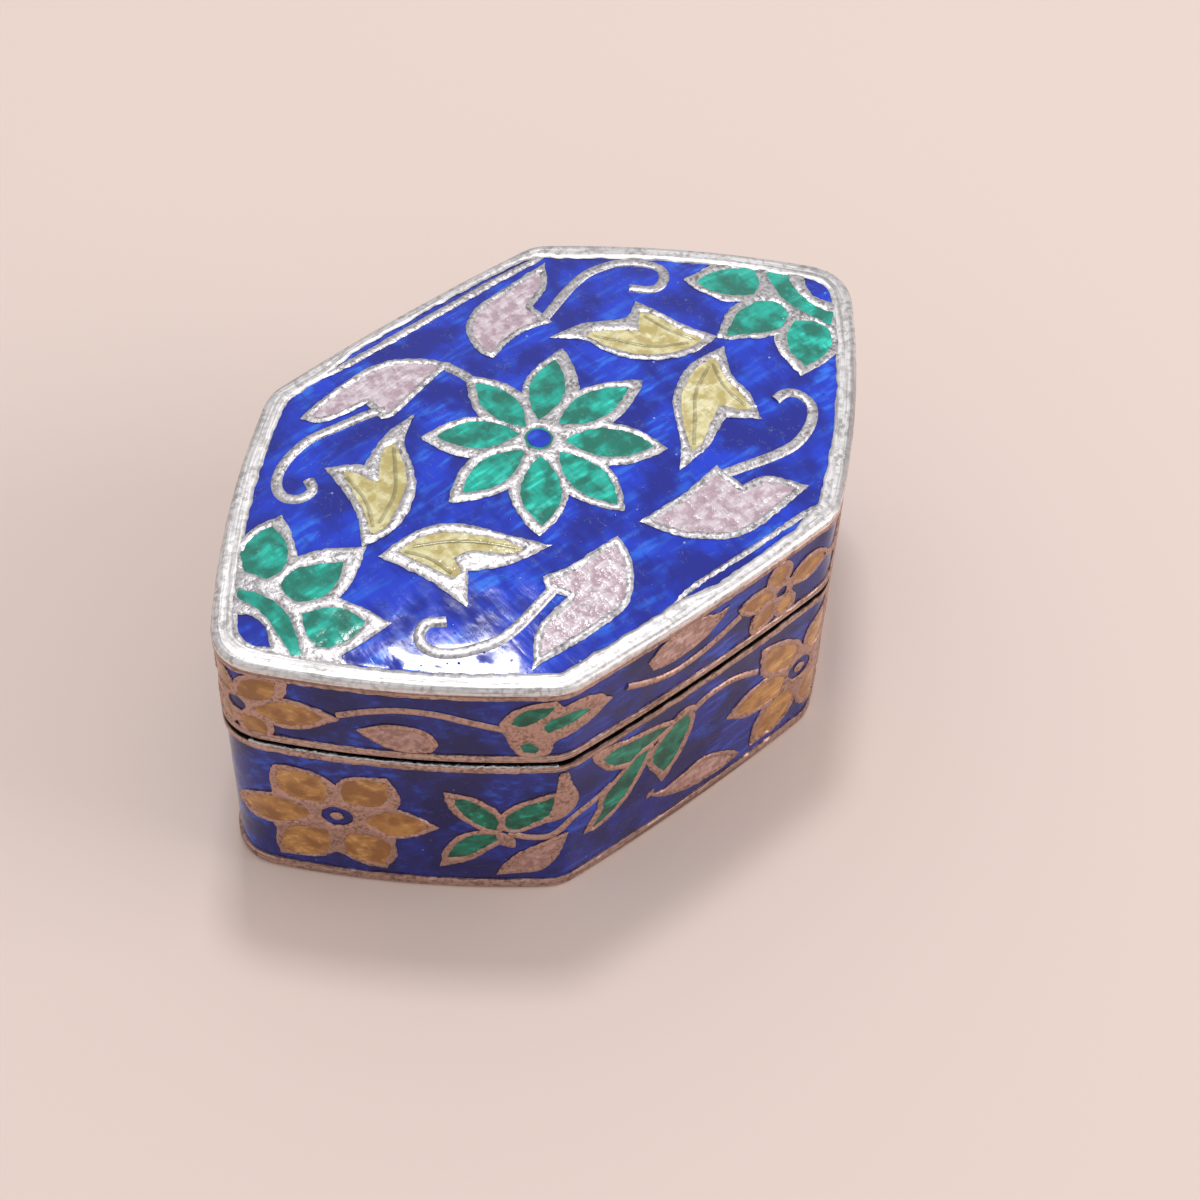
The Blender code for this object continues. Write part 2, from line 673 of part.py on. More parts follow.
def main():
    for obj in list(bpy.data.objects):
        bpy.data.objects.remove(obj)
    collection = bpy.data.collections.new("cloisonne_enamel_box")
    scratch = bpy.data.collections.new("cutters")
    for group in (collection, scratch):
        bpy.context.scene.collection.children.link(group)
    materials = {values[0]: make_material(*values) for values in (SILVER, COBALT, EMERALD, YELLOW, PINK)}
    outline = plan_outline()
    build_tray(outline, collection, scratch, materials)
    build_lid(outline, collection, scratch, materials)
    bpy.data.collections.remove(scratch)


main()
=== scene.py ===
# %% [markdown]
# # A small cloisonne enamel box
#
# The box is a long hexagon of silver with a lift-off lid. Its lid and sides are covered with
# flowers in coloured enamel, each cell fenced in by a raised silver line.
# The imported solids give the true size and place. This lesson dresses them: it redraws the silver
# lines finely, fills the cells with glassy enamel, and lights the box like the photograph.

# %% Load the frame
import math

import bpy
import numpy as np
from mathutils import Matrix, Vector, geometry, kdtree, noise


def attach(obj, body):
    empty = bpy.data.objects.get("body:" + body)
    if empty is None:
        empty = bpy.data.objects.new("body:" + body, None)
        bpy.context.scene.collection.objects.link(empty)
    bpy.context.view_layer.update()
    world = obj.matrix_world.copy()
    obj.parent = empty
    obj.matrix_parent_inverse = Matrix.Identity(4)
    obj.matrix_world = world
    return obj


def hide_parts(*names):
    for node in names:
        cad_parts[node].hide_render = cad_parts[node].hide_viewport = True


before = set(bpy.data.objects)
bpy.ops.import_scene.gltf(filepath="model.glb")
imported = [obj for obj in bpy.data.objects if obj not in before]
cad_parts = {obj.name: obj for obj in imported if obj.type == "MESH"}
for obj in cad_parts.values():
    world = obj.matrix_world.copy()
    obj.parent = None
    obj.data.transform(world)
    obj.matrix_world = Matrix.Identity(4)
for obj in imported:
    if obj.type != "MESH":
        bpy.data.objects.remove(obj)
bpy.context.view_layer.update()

MM = 0.001
print("solids in the frame:", len(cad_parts))

# %% [markdown]
# ## The camera
#
# The photograph looks down on the near-left side of the box from close by. A camera can be placed
# by eye, but the ornament is read off the photograph, so a small error would shift every flower.
# The camera was therefore worked out from the hexagon of the lid, whose corners fix both the lens
# and the viewpoint.

# %% Set the camera
LENS = 76.417
CAMERA_MM = (-56.59, -67.15, 118.48)
CAMERA_TURN = (37.878, -1.651, -39.963)

camera_data = bpy.data.cameras.new("camera")
camera_data.lens = LENS
camera_data.sensor_width = 36.0
camera_data.clip_start = 0.01
camera_data.clip_end = 10.0
camera = bpy.data.objects.new("camera", camera_data)
camera.location = [value * MM for value in CAMERA_MM]
camera.rotation_euler = [math.radians(value) for value in CAMERA_TURN]
bpy.context.scene.collection.objects.link(camera)
bpy.context.scene.camera = camera
print("camera is", round(camera.location.length, 4), "m from the middle of the underside")

# %% [markdown]
# ## The plan of the box
#
# Seen from above the box is a hexagon with two rounded tips and slightly bowed sides. Blender's
# Inset and Bevel tools could shape it, but the number of points would change from ring to ring.
# Here the outline is worked out as a function of how far it is moved inwards. All rings have the
# same number of points, and can be joined into walls point by point.

# %% Place the six corners
PLAN_LENGTH, PLAN_WIDTH, LONG_SIDE = 43.0, 25.0, 18.1


def hexagon(inset):
    """The six corners, anticlockwise from the left tip, moved inwards by the inset."""
    x, y, side = PLAN_LENGTH / 2, PLAN_WIDTH / 2, LONG_SIDE / 2
    slope = math.hypot(x - side, y)
    tip = x - inset * slope / y
    corner = side - inset * (slope - (x - side)) / y
    far = y - inset
    return [(-tip, 0), (-corner, -far), (corner, -far), (tip, 0), (corner, far), (-corner, far)]


print("corners:", hexagon(0.0))

# %% [markdown]
# Each side bows outwards a little, and a curve between the ends of two sides rounds each corner.
# The tips are corners 0 and 3 and the long sides are sides 1 and 4, so the remainder after
# dividing by three tells them from the others.

# %% Bow the sides and round the corners
END_BOW, LONG_BOW = 0.7, 0.3
TIP_TRIM, CORNER_TRIM, SMALLEST_TRIM = 2.2, 0.8, 0.35
SIDE_STEPS, TIP_STEPS, CORNER_STEPS = 100, 32, 14


def ring(inset):
    """The outline of the box moved inwards, as an array of points that starts at the left tip."""
    corners = [np.array(corner, float) for corner in hexagon(inset)]
    trims = [max((TIP_TRIM if k % 3 == 0 else CORNER_TRIM) - inset, SMALLEST_TRIM) for k in range(6)]
    sides = []
    for k in range(6):
        start, end = corners[k], corners[(k + 1) % 6]
        length = np.linalg.norm(end - start)
        out = np.array((end[1] - start[1], start[0] - end[0])) / length
        share = np.linspace(trims[k] / length, 1 - trims[(k + 1) % 6] / length, SIDE_STEPS)[:, None]
        bow = LONG_BOW if k % 3 == 1 else END_BOW
        sides.append(start + (end - start) * share + out * 4 * share * (1 - share) * bow)
    points = []
    for k in range(6):
        after = (k + 1) % 6
        steps = TIP_STEPS if after % 3 == 0 else CORNER_STEPS
        t = (np.arange(1, steps) / steps)[:, None]
        bend = (1 - t) ** 2 * sides[k][-1] + 2 * t * (1 - t) * corners[after] + t * t * sides[after][0]
        points += [sides[k], bend]
    return np.roll(np.vstack(points), TIP_STEPS // 2, axis=0)


OUTLINE = ring(0.0)
STEP_LENGTHS = np.linalg.norm(np.roll(OUTLINE, -1, axis=0) - OUTLINE, axis=1)
ALONG = np.concatenate([[0.0], np.cumsum(STEP_LENGTHS)])
TURN = ALONG[-1]
chords = np.roll(OUTLINE, -1, axis=0) - np.roll(OUTLINE, 1, axis=0)
OUTWARD = np.stack([chords[:, 1], -chords[:, 0]], 1) / np.linalg.norm(chords, axis=1)[:, None]
print("outline:", len(OUTLINE), "points,", round(TURN, 2), "mm around")

# %% [markdown]
# ## Two curved surfaces to draw on
#
# The ornament is drawn flat and then laid onto the box. A Shrinkwrap modifier could press it on,
# but every height above the surface would be lost. Instead a function for each surface says where
# a flat point at some height lies: on the shallow dome of the lid, or wrapped around the outline.
# Both take the same values, so the same drawing tools serve both.

# %% Lay flat drawings onto the box
LID_TOP, LID_BOTTOM, TRAY_TOP = 18.2, 12.0, 11.65
DOME, DOME_MARGIN, DOME_FULLNESS = 1.1, 0.5, 0.7


def dome(x, y):
    """How far the lid's top rises at a place."""
    corners = hexagon(0.0)
    rise = np.ones_like(np.asarray(x, float))
    for (x0, y0), (x1, y1) in zip(corners[:3], corners[1:4]):
        length = math.hypot(x1 - x0, y1 - y0)
        nx, ny = (y1 - y0) / length, (x0 - x1) / length
        reach = nx * x0 + ny * y0 - DOME_MARGIN
        rise = rise * np.maximum(0.0, 1 - ((nx * x + ny * y) / reach) ** 2)
    return DOME * rise ** DOME_FULLNESS


def on_top(flat, height):
    """Places on the lid's top, in millimetres."""
    x, y = flat[:, 0], flat[:, 1]
    return np.stack([x, y, LID_TOP + dome(x, y) + height], 1)


def on_side(flat, height):
    """Places on the sides: x runs around the box and y is measured up from the lid's rim."""
    u = np.mod(flat[:, 0], TURN)
    closed = np.vstack([OUTLINE, OUTLINE[:1]])
    out = np.vstack([OUTWARD, OUTWARD[:1]])
    x, y = np.interp(u, ALONG, closed[:, 0]), np.interp(u, ALONG, closed[:, 1])
    nx, ny = np.interp(u, ALONG, out[:, 0]), np.interp(u, ALONG, out[:, 1])
    size = np.hypot(nx, ny)
    return np.stack([x + nx / size * height, y + ny / size * height, LID_TOP + flat[:, 1]], 1)


print("the dome rises", round(float(dome(0.0, 0.0)), 2), "mm in the middle")

# %% [markdown]
# ## Drawing tools
#
# The outlines of the silver could be drawn as Blender curves. Here they are plain arrays of
# points, which can be widened, roughened and cut out of each other in a line of code. Only a few
# points are written down, and a curve is run through them that keeps their sharp tips.

# %% Run a smooth curve through a few points
FINE = 0.13
SHARP_TURN = math.radians(52)
TINY = 1e-9


def stretched(direction, length):
    """A direction made as long as wanted."""
    return direction / max(np.linalg.norm(direction), TINY) * length


def smooth(points, closed=True):
    """A finely stepped curve through points; a closed one keeps its sharp corners."""
    points = np.asarray(points, float)
    count = len(points)
    before, after = np.roll(points, 1, axis=0), np.roll(points, -1, axis=0)
    if not closed:
        before[0], after[-1] = points[0], points[-1]
    first, last = points - before, after - points
    angle = np.arctan2(first[:, 0] * last[:, 1] - first[:, 1] * last[:, 0], (first * last).sum(1))
    soft = (np.abs(angle) < SHARP_TURN)[:, None] | (not closed)
    through = (after - before) / 2
    pieces = []
    for k in range(count if closed else count - 1):
        end = (k + 1) % count
        chord = points[end] - points[k]
        length = np.linalg.norm(chord)
        leave = stretched(through[k] if soft[k] else chord, length)
        arrive = stretched(through[end] if soft[end] else chord, length)
        t = np.linspace(0, 1, max(2, math.ceil(length / FINE)), endpoint=False)[:, None]
        # The four weights of a cubic curve between two points with a direction at each.
        a, b = 2 * t ** 3 - 3 * t * t + 1, t ** 3 - 2 * t * t + t
        c, d = 3 * t * t - 2 * t ** 3, t ** 3 - t * t
        pieces.append(a * points[k] + b * leave + c * points[end] + d * arrive)
    if not closed:
        pieces.append(points[-1:])
    return np.vstack(pieces)


print("a square of 1 mm is stepped into", len(smooth([(0, 0), (1, 0), (1, 1), (0, 1)])), "points")

# %% [markdown]
# An outline is moved outwards to make a border around a cell, and inwards to make a cell within a
# border. A silver line cut with a graver is never quite even, so a fine and a broad noise shift
# its points a little.

# %% Widen and roughen outlines
RAGGED, RAGGED_SCALE, RAGGED_SEED = 0.075, 3.0, 3.1
WANDER, WANDER_SCALE, WANDER_SEED = 0.06, 0.6, 8.7


def sideways(points):
    """The direction to the right of each step of a closed curve, which is outwards if it turns left."""
    step = np.roll(points, -1, axis=0) - np.roll(points, 1, axis=0)
    length = np.maximum(np.linalg.norm(step, axis=1), TINY)
    return np.stack([step[:, 1], -step[:, 0]], 1) / length[:, None]


def leftward(points):
    """The same closed outline, turned so that it runs anticlockwise."""
    x, y = points[:, 0], points[:, 1]
    area = (x * np.roll(y, -1) - y * np.roll(x, -1)).sum()
    return points if area > 0 else points[::-1]


def widened(points, distance):
    """A closed outline moved outwards, or inwards when the distance is negative."""
    points = leftward(np.asarray(points, float))
    return points + sideways(points) * distance


def ragged(points):
    """A closed outline with the small unevenness of a cut line."""
    points = leftward(points)
    shift = []
    for x, y in points:
        fine = noise.noise(Vector((x * RAGGED_SCALE, y * RAGGED_SCALE, RAGGED_SEED)))
        broad = noise.noise(Vector((x * WANDER_SCALE, y * WANDER_SCALE, WANDER_SEED)))
        shift.append(fine * RAGGED + broad * WANDER)
    return points + sideways(points) * np.array(shift)[:, None]


print("lines wander by up to about", RAGGED + WANDER, "mm")

# %% [markdown]
# Most petals are leaves that are pointed at both ends, so a leaf needs only its foot, its tip and
# half its width. A sine gives the belly, and a power below one makes it fuller. Some flowers are
# stars: leaves that all point away from a middle.

# %% Shape leaves, discs and stars
LEAF_FULLNESS, FEWEST_LEAF_STEPS, DISC_STEPS = 0.85, 6, 36


def leaf(foot, tip, half_width):
    """A leaf that is pointed at both ends."""
    foot, tip = np.array(foot, float), np.array(tip, float)
    along = tip - foot
    length = np.linalg.norm(along)
    across = np.array((-along[1], along[0])) / length
    share = np.linspace(0, 1, max(FEWEST_LEAF_STEPS, math.ceil(length / FINE)))[:, None]
    width = half_width * np.sin(math.pi * share) ** LEAF_FULLNESS
    right, left = foot + along * share - across * width, foot + along * share + across * width
    return np.vstack([right, left[-2:0:-1]])


def disc(middle, radius):
    """A round outline."""
    angle = np.linspace(0, 2 * math.pi, DISC_STEPS, endpoint=False)
    return np.array(middle) + radius * np.column_stack([np.cos(angle), np.sin(angle)])


def star(middle, inner, outer, half_width, angles):
    """Leaves that point away from a middle, from one oval around it to a larger one."""
    rays = [np.array((math.cos(angle), math.sin(angle))) for angle in angles]
    return [leaf(middle + ray * inner, middle + ray * outer, half_width) for ray in rays]


print("a leaf 4 mm long has", len(leaf((0, 0), (4, 0), 1)), "points")

# %% [markdown]
# ## From outlines to solid sheets
#
# The silver ornament is a thin sheet with windows for the enamel. Booleans could cut the windows,
# but so many cuts are slow and leave splinters. Here the space between the outlines is filled at
# once. That needs a test of what lies inside an outline: it looks to the right of a
# point and counts the edges that it meets, upward ones as one and downward ones as minus one.

# %% Tell what lies inside an outline
def inside(points, loop):
    """Which points lie inside a closed outline."""
    hit = np.zeros(len(points), bool)
    low, high = loop.min(0), loop.max(0)
    near = np.flatnonzero(((points > low) & (points < high)).all(1))
    x, y = points[near, 0:1], points[near, 1:2]
    ax, ay = loop[:, 0], loop[:, 1]
    bx, by = np.roll(ax, -1), np.roll(ay, -1)
    crossed = (ay > y) != (by > y)
    with np.errstate(divide="ignore", invalid="ignore"):
        reached = x < ax + (y - ay) / (by - ay) * (bx - ax)
    hit[near] = np.where(crossed & reached, np.sign(by - ay), 0).sum(1) > 0
    return hit


print("inside a disc:", inside(np.array([(0.0, 0.0), (3.0, 0.0)]), disc((0, 0), 1)))

# %% [markdown]
# A constrained triangulation joins the outlines exactly, and rows of extra points inside let the
# sheet bend with the dome. Triangles in a window or outside are dropped.

# %% Fill outlines with triangles
ROW_SHARE, CLEAR_SHARE, SAME_POINT = 0.866, 0.55, 1e-5


def filled(solid, windows, spacing, within=None):
    """Triangles that fill the solid outlines inside a boundary and leave the windows open."""
    loops = solid + windows + ([] if within is None else [within])

    def kept(points):
        on = np.zeros(len(points), bool)
        for loop in solid:
            on |= inside(points, loop)
        for loop in windows:
            on &= ~inside(points, loop)
        return on if within is None else on & inside(points, within)

    edges, start = [], 0
    for loop in loops:
        count = len(loop)
        edges += [(start + k, start + (k + 1) % count) for k in range(count)]
        start += count
    drawn = np.vstack(loops)
    low, high = drawn.min(0), drawn.max(0)
    columns, rows = np.arange(low[0], high[0], spacing), np.arange(low[1], high[1], spacing * ROW_SHARE)
    grid = np.array([(x + spacing / 2 * (k % 2), y) for k, y in enumerate(rows) for x in columns])
    grid = grid[kept(grid)]
    tree = kdtree.KDTree(len(drawn))
    for k, (x, y) in enumerate(drawn):
        tree.insert((x, y, 0), k)
    tree.balance()
    apart = [tree.find((x, y, 0))[2] > spacing * CLEAR_SHARE for x, y in grid]
    points = np.vstack([drawn, grid[apart]]) if len(grid) else drawn
    made = geometry.delaunay_2d_cdt([Vector(p) for p in points], edges, [], 0, SAME_POINT)
    flat = np.array([vert[:] for vert in made[0]])
    faces = np.array([face for face in made[2] if len(face) == 3])
    faces = faces[kept(flat[faces].mean(1))]
    a, b, c = (flat[faces[:, k]] for k in range(3))
    turned = (b[:, 0] - a[:, 0]) * (c[:, 1] - a[:, 1]) - (b[:, 1] - a[:, 1]) * (c[:, 0] - a[:, 0]) < 0
    faces[turned] = faces[turned][:, ::-1]
    used, faces = np.unique(faces, return_inverse=True)
    return flat[used], faces.reshape(-1, 3)


print("a filled disc has", len(filled([disc((0, 0), 1)], [], 0.3)[1]), "triangles")

# %% [markdown]
# A flat sheet becomes solid by a lower copy of itself and a wall between the two outlines. The
# Solidify modifier could do that. Here the upper face gets its own heights first: it is let down
# near the edges, so that each line has a soft shoulder that catches light.

# %% Give sheets a thickness
def rim_edges(faces):
    """The edges that only one triangle uses, each in the direction of that triangle."""
    pairs = np.vstack([faces[:, (0, 1)], faces[:, (1, 2)], faces[:, (2, 0)]])
    size = faces.max() + 1
    there, back = pairs[:, 0] * size + pairs[:, 1], pairs[:, 1] * size + pairs[:, 0]
    return pairs[~np.isin(there, back)]


def from_edge(flat, faces):
    """How far each point is from the outline of its sheet."""
    edge_points = np.unique(rim_edges(faces))
    tree = kdtree.KDTree(len(edge_points))
    for k in edge_points:
        tree.insert((flat[k, 0], flat[k, 1], 0), int(k))
    tree.balance()
    return np.array([tree.find((x, y, 0))[2] for x, y in flat])


def waves(flat, scale, seed):
    """Gentle unevenness, one value from about -0.5 to 0.5 for each point."""
    return np.array([noise.noise(Vector((x * scale, y * scale, seed))) for x, y in flat])


def slab(flat, faces, top, under, place):
    """Points and faces of a closed sheet between its top heights and its underside."""
    count = len(flat)
    points = np.vstack([place(flat, top), place(flat, np.full(count, under))])
    a, b = rim_edges(faces).T
    walls = np.stack([a, a + count, b + count, b], 1)
    polygons = faces.tolist() + (faces[:, ::-1] + count).tolist() + walls.tolist()
    return points, polygons


print("edges around one triangle:", len(rim_edges(np.array([(0, 1, 2)]))))

# %% [markdown]
# ## Making pieces
#
# Every piece is a mesh in metres whose object stays at the origin, like the solids it dresses. It rides on
# the body, hides the solids that it stands for, and carries its one material. Bevels and shoulders are
# shaded smooth, and only edges that turn further than a set angle stay sharp.

# %% Turn points and faces into a piece of the box
SMOOTH_ANGLE = math.radians(38)


def piece(name, parts, material, stands_for=()):
    """One piece from one or more lists of points in millimetres and faces."""
    points, polygons = [], []
    for more_points, more_polygons in parts:
        start = sum(len(p) for p in points)
        points.append(more_points)
        polygons += [[index + start for index in polygon] for polygon in more_polygons]
    mesh = bpy.data.meshes.new(name)
    mesh.from_pydata((np.vstack(points) * MM).tolist(), [], polygons)
    mesh.validate()
    mesh.shade_smooth()
    mesh.set_sharp_from_angle(angle=SMOOTH_ANGLE)
    mesh.materials.append(material)
    obj = bpy.data.objects.new(name, mesh)
    bpy.context.scene.collection.objects.link(obj)
    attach(obj, "root")
    if stands_for:
        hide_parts(*stands_for)
    print(name, "has", sum(len(p.vertices) - 2 for p in mesh.polygons), "triangles")
    return obj


def turned_half(parts):
    """The same parts and their copies on the other half of the box, turned about its middle."""
    flipped = [(points * np.array((-1, -1, 1)), polygons) for points, polygons in parts]
    return parts + flipped


print("edges stay sharp from", round(math.degrees(SMOOTH_ANGLE)), "degrees")

# %% [markdown]
# ## Finishes
#
# Each finish is a network of nodes. It could be wired in the Shader Editor, but a script can be
# read and run again. These helpers add a node, a sum, a range, a blend or a noise in one line, so
# that a recipe reads from top to bottom. Sizes in it are in metres, so scales are large numbers.

# %% Write one-line calls for nodes
COLOR, FLOAT, VECTOR = "NodeSocketColor", "NodeSocketFloat", "NodeSocketVector"


def new_group(name, inputs):
    """A shader group with named inputs that puts out a colour, a roughness and a height."""
    tree = bpy.data.node_groups.new(name, "ShaderNodeTree")
    for label, kind in inputs.items():
        tree.interface.new_socket(label, in_out="INPUT", socket_type=kind)
    for label, kind in (("Color", COLOR), ("Roughness", FLOAT), ("Height", FLOAT)):
        tree.interface.new_socket(label, in_out="OUTPUT", socket_type=kind)
    given, result = tree.nodes.new("NodeGroupInput"), tree.nodes.new("NodeGroupOutput")
    return tree, given.outputs, result.inputs


def add(tree, kind, settings=None, **values):
    """A node with some properties and input values; a value that is a socket is linked."""
    node = tree.nodes.new(kind)
    for key, value in (settings or {}).items():
        setattr(node, key, value)
    for key, value in values.items():
        place = int(key[1:]) if key[0] == "i" and key[1:].isdigit() else key.replace("_", " ")
        if isinstance(value, bpy.types.NodeSocket):
            tree.links.new(value, node.inputs[place])
        else:
            node.inputs[place].default_value = value
    return node


def math_node(tree, operation, a, b=0.0, c=0.0):
    """The result of one sum."""
    return add(tree, "ShaderNodeMath", {"operation": operation}, i0=a, i1=b, i2=c).outputs[0]


def between(tree, value, low, high, to_low=0.0, to_high=1.0):
    """A value stretched from one range to another and held inside it."""
    return add(tree, "ShaderNodeMapRange", {"interpolation_type": "SMOOTHSTEP"},
               i0=value, i1=low, i2=high, i3=to_low, i4=to_high).outputs[0]


def mixed(tree, share, first, second):
    """Two colours blended by a share."""
    return add(tree, "ShaderNodeMix", {"data_type": "RGBA"}, i0=share, i6=first, i7=second).outputs[2]


def grain(tree, place, scale, detail, stretch=None, turn=(0.0, 0.0, 0.0)):
    """Noise from 0 to 1, stretched and turned."""
    if stretch:
        place = add(tree, "ShaderNodeMapping", Vector=place, Rotation=turn, Scale=stretch).outputs[0]
    return add(tree, "ShaderNodeTexNoise", Vector=place, Scale=scale, Detail=detail).outputs[0]


print("helpers for nodes:", [call.__name__ for call in (add, math_node, between, mixed, grain)])

# %% [markdown]
# Worked silver is grainy and scratched. An image of scratches could be wrapped around it, but
# noise has no seams and keeps its scale everywhere. The group is shared, and each silver feeds it
# with its own colours and its own grain. Dark pores gather where a broad noise lets them.

# %% Build the silver group
PATCH_SCALE, STROKE_SCALE = 900.0, 2600.0


def worked_silver_group():
    """Tone, roughness and height of worked silver."""
    inputs = {"Vector": VECTOR, "Metal": COLOR, "Shade": COLOR, "Grain": FLOAT}
    tree, given, result = new_group("worked_silver", inputs)
    place = given["Vector"]
    grains = grain(tree, place, given["Grain"], 4.0)
    patches = between(tree, grain(tree, place, PATCH_SCALE, 3.0), 0.35, 0.62, 0.35, 0.8)
    stroke_a = grain(tree, place, STROKE_SCALE, 2.0, (1.0, 0.12, 1.0), (0.0, 0.0, 0.5))
    stroke_b = grain(tree, place, STROKE_SCALE, 2.0, (0.12, 1.0, 1.0), (0.0, 0.0, 0.3))
    strokes = math_node(tree, "MAXIMUM", stroke_a, stroke_b)
    pores = math_node(tree, "MULTIPLY", between(tree, grains, 0.56, 0.36), patches)
    tree.links.new(mixed(tree, pores, given["Metal"], given["Shade"]), result["Color"])
    rough = math_node(tree, "MULTIPLY_ADD", grains, 0.3, 0.2)
    tree.links.new(math_node(tree, "MULTIPLY_ADD", strokes, 0.12, rough), result["Roughness"])
    height = math_node(tree, "MULTIPLY_ADD", grains, 0.8, math_node(tree, "MULTIPLY", strokes, 0.5))
    tree.links.new(height, result["Height"])
    return tree


SILVER_GROUP = worked_silver_group()
print(SILVER_GROUP.name, "has", len(SILVER_GROUP.nodes), "nodes")

# %% [markdown]
# Enamel is coloured glass, and under its shine it is cloudy. A see-through shader over a silver
# floor would be the nearest to the real thing, but it renders slowly and noisily. Layers of
# colour do as well: clouds between a deep and a middle tone, light streaks, deep streaks across
# them, and a few pale burst bubbles and hair scratches, which are also rougher.

# %% Build the enamel group
BROAD_SCALE, BUBBLE_SCALE, HAIR_SCALE = 110.0, 1500.0, 700.0


def enamel_group():
    """Colour, roughness and height of fired enamel."""
    inputs = {"Vector": VECTOR, "Deep": COLOR, "Mid": COLOR, "Bright": COLOR, "Fleck": COLOR,
              "Cloud": FLOAT, "Streak": FLOAT}
    tree, given, result = new_group("fired_enamel", inputs)
    place, deep, fleck = given["Vector"], given["Deep"], given["Fleck"]
    cloud = grain(tree, place, given["Cloud"], 3.0)
    streak = grain(tree, place, given["Streak"], 3.0, (0.2, 1.0, 1.0), (0.3, 0.4, 0.9))
    cross = grain(tree, place, given["Streak"], 3.0, (1.0, 0.25, 1.0), (0.2, 0.1, 0.2))
    colour = mixed(tree, between(tree, cloud, 0.36, 0.64), deep, given["Mid"])
    broad = between(tree, grain(tree, place, BROAD_SCALE, 2.0), 0.4, 0.6, 0.3, 1.0)
    light = math_node(tree, "MULTIPLY", between(tree, streak, 0.47, 0.7), between(tree, cloud, 0.38, 0.6))
    light = math_node(tree, "MULTIPLY", light, broad)
    colour = mixed(tree, light, colour, given["Bright"])
    colour = mixed(tree, between(tree, cross, 0.46, 0.3, 0.0, 0.5), colour, deep)
    # About one cell in eight has a bubble in its middle.
    cells = add(tree, "ShaderNodeTexVoronoi", Vector=place, Scale=BUBBLE_SCALE)
    draw = add(tree, "ShaderNodeSeparateColor", i0=cells.outputs[1]).outputs[0]
    bubble = between(tree, cells.outputs[0], 0.13, 0.05)
    bubble = math_node(tree, "MULTIPLY", bubble, between(tree, draw, 0.86, 0.9))
    colour = mixed(tree, math_node(tree, "MULTIPLY", bubble, 0.8), colour, fleck)
    # A hair scratch runs where a noise passes through its middle value.
    hair = add(tree, "ShaderNodeTexNoise", Vector=place, Scale=HAIR_SCALE, Detail=6.0, Roughness=0.62)
    hair = math_node(tree, "ABSOLUTE", math_node(tree, "SUBTRACT", hair.outputs[0], 0.5))
    scratch = math_node(tree, "MULTIPLY", between(tree, hair, 0.008, 0.0), between(tree, cross, 0.5, 0.62))
    colour = mixed(tree, math_node(tree, "MULTIPLY", scratch, 0.35), colour, fleck)
    tree.links.new(colour, result["Color"])
    marks = math_node(tree, "MULTIPLY_ADD", scratch, 0.3, math_node(tree, "MULTIPLY", bubble, 0.3))
    rough = math_node(tree, "ADD", marks, between(tree, cross, 0.3, 0.7, 0.08, 0.2))
    tree.links.new(rough, result["Roughness"])
    height = math_node(tree, "MULTIPLY_ADD", cloud, 0.9, math_node(tree, "MULTIPLY", cross, 0.25))
    height = math_node(tree, "SUBTRACT", height, math_node(tree, "MULTIPLY", marks, 0.8))
    tree.links.new(height, result["Height"])
    return tree


ENAMEL_GROUP = enamel_group()
print(ENAMEL_GROUP.name, "has", len(ENAMEL_GROUP.nodes), "nodes")

# %% [markdown]
# ## Silver materials
#
# The silver on top is pale and grainy. On the sides and walls it is given a darker, rosier colour: painted
# shade, and a painted reflection of the warm surroundings under it. The rims are brushed along their length,
# and for that they carry a UV map that runs along the edge. The seam between lid and tray is painted
# near-black, as painted shade.

# %% Make the silvers
# Near-black painted shade for the gap between lid and tray.
SEAM_SHADE = (0.01, 0.008, 0.008, 1)
SEAM_SHADE_BELOW, SEAM_SHADE_ABOVE = (0.16, 0.04), (0.10, 0.02)
BRUSH_SCALE, FINE_BRUSH, BROAD_BRUSH = 1000.0, (0.3, 9.0, 1.0), (0.06, 3.2, 1.0)


def principled(name):
    """A new material, its tree and its main shader."""
    material = bpy.data.materials.new(name)
    material.use_nodes = True
    return material, material.node_tree, material.node_tree.nodes["Principled BSDF"]


def effect(tree, group, **values):
    """A shared group on Object coordinates, with a material's own values: its place and outputs."""
    place = tree.nodes.new("ShaderNodeTexCoord").outputs["Object"]
    return place, add(tree, "ShaderNodeGroup", {"node_tree": group}, Vector=place, **values).outputs


def bump(tree, shader, height, distance):
    """Feeds a height into the shader's normal."""
    node = add(tree, "ShaderNodeBump", Strength=1.0, Distance=distance, Height=height)
    tree.links.new(node.outputs[0], shader.inputs["Normal"])


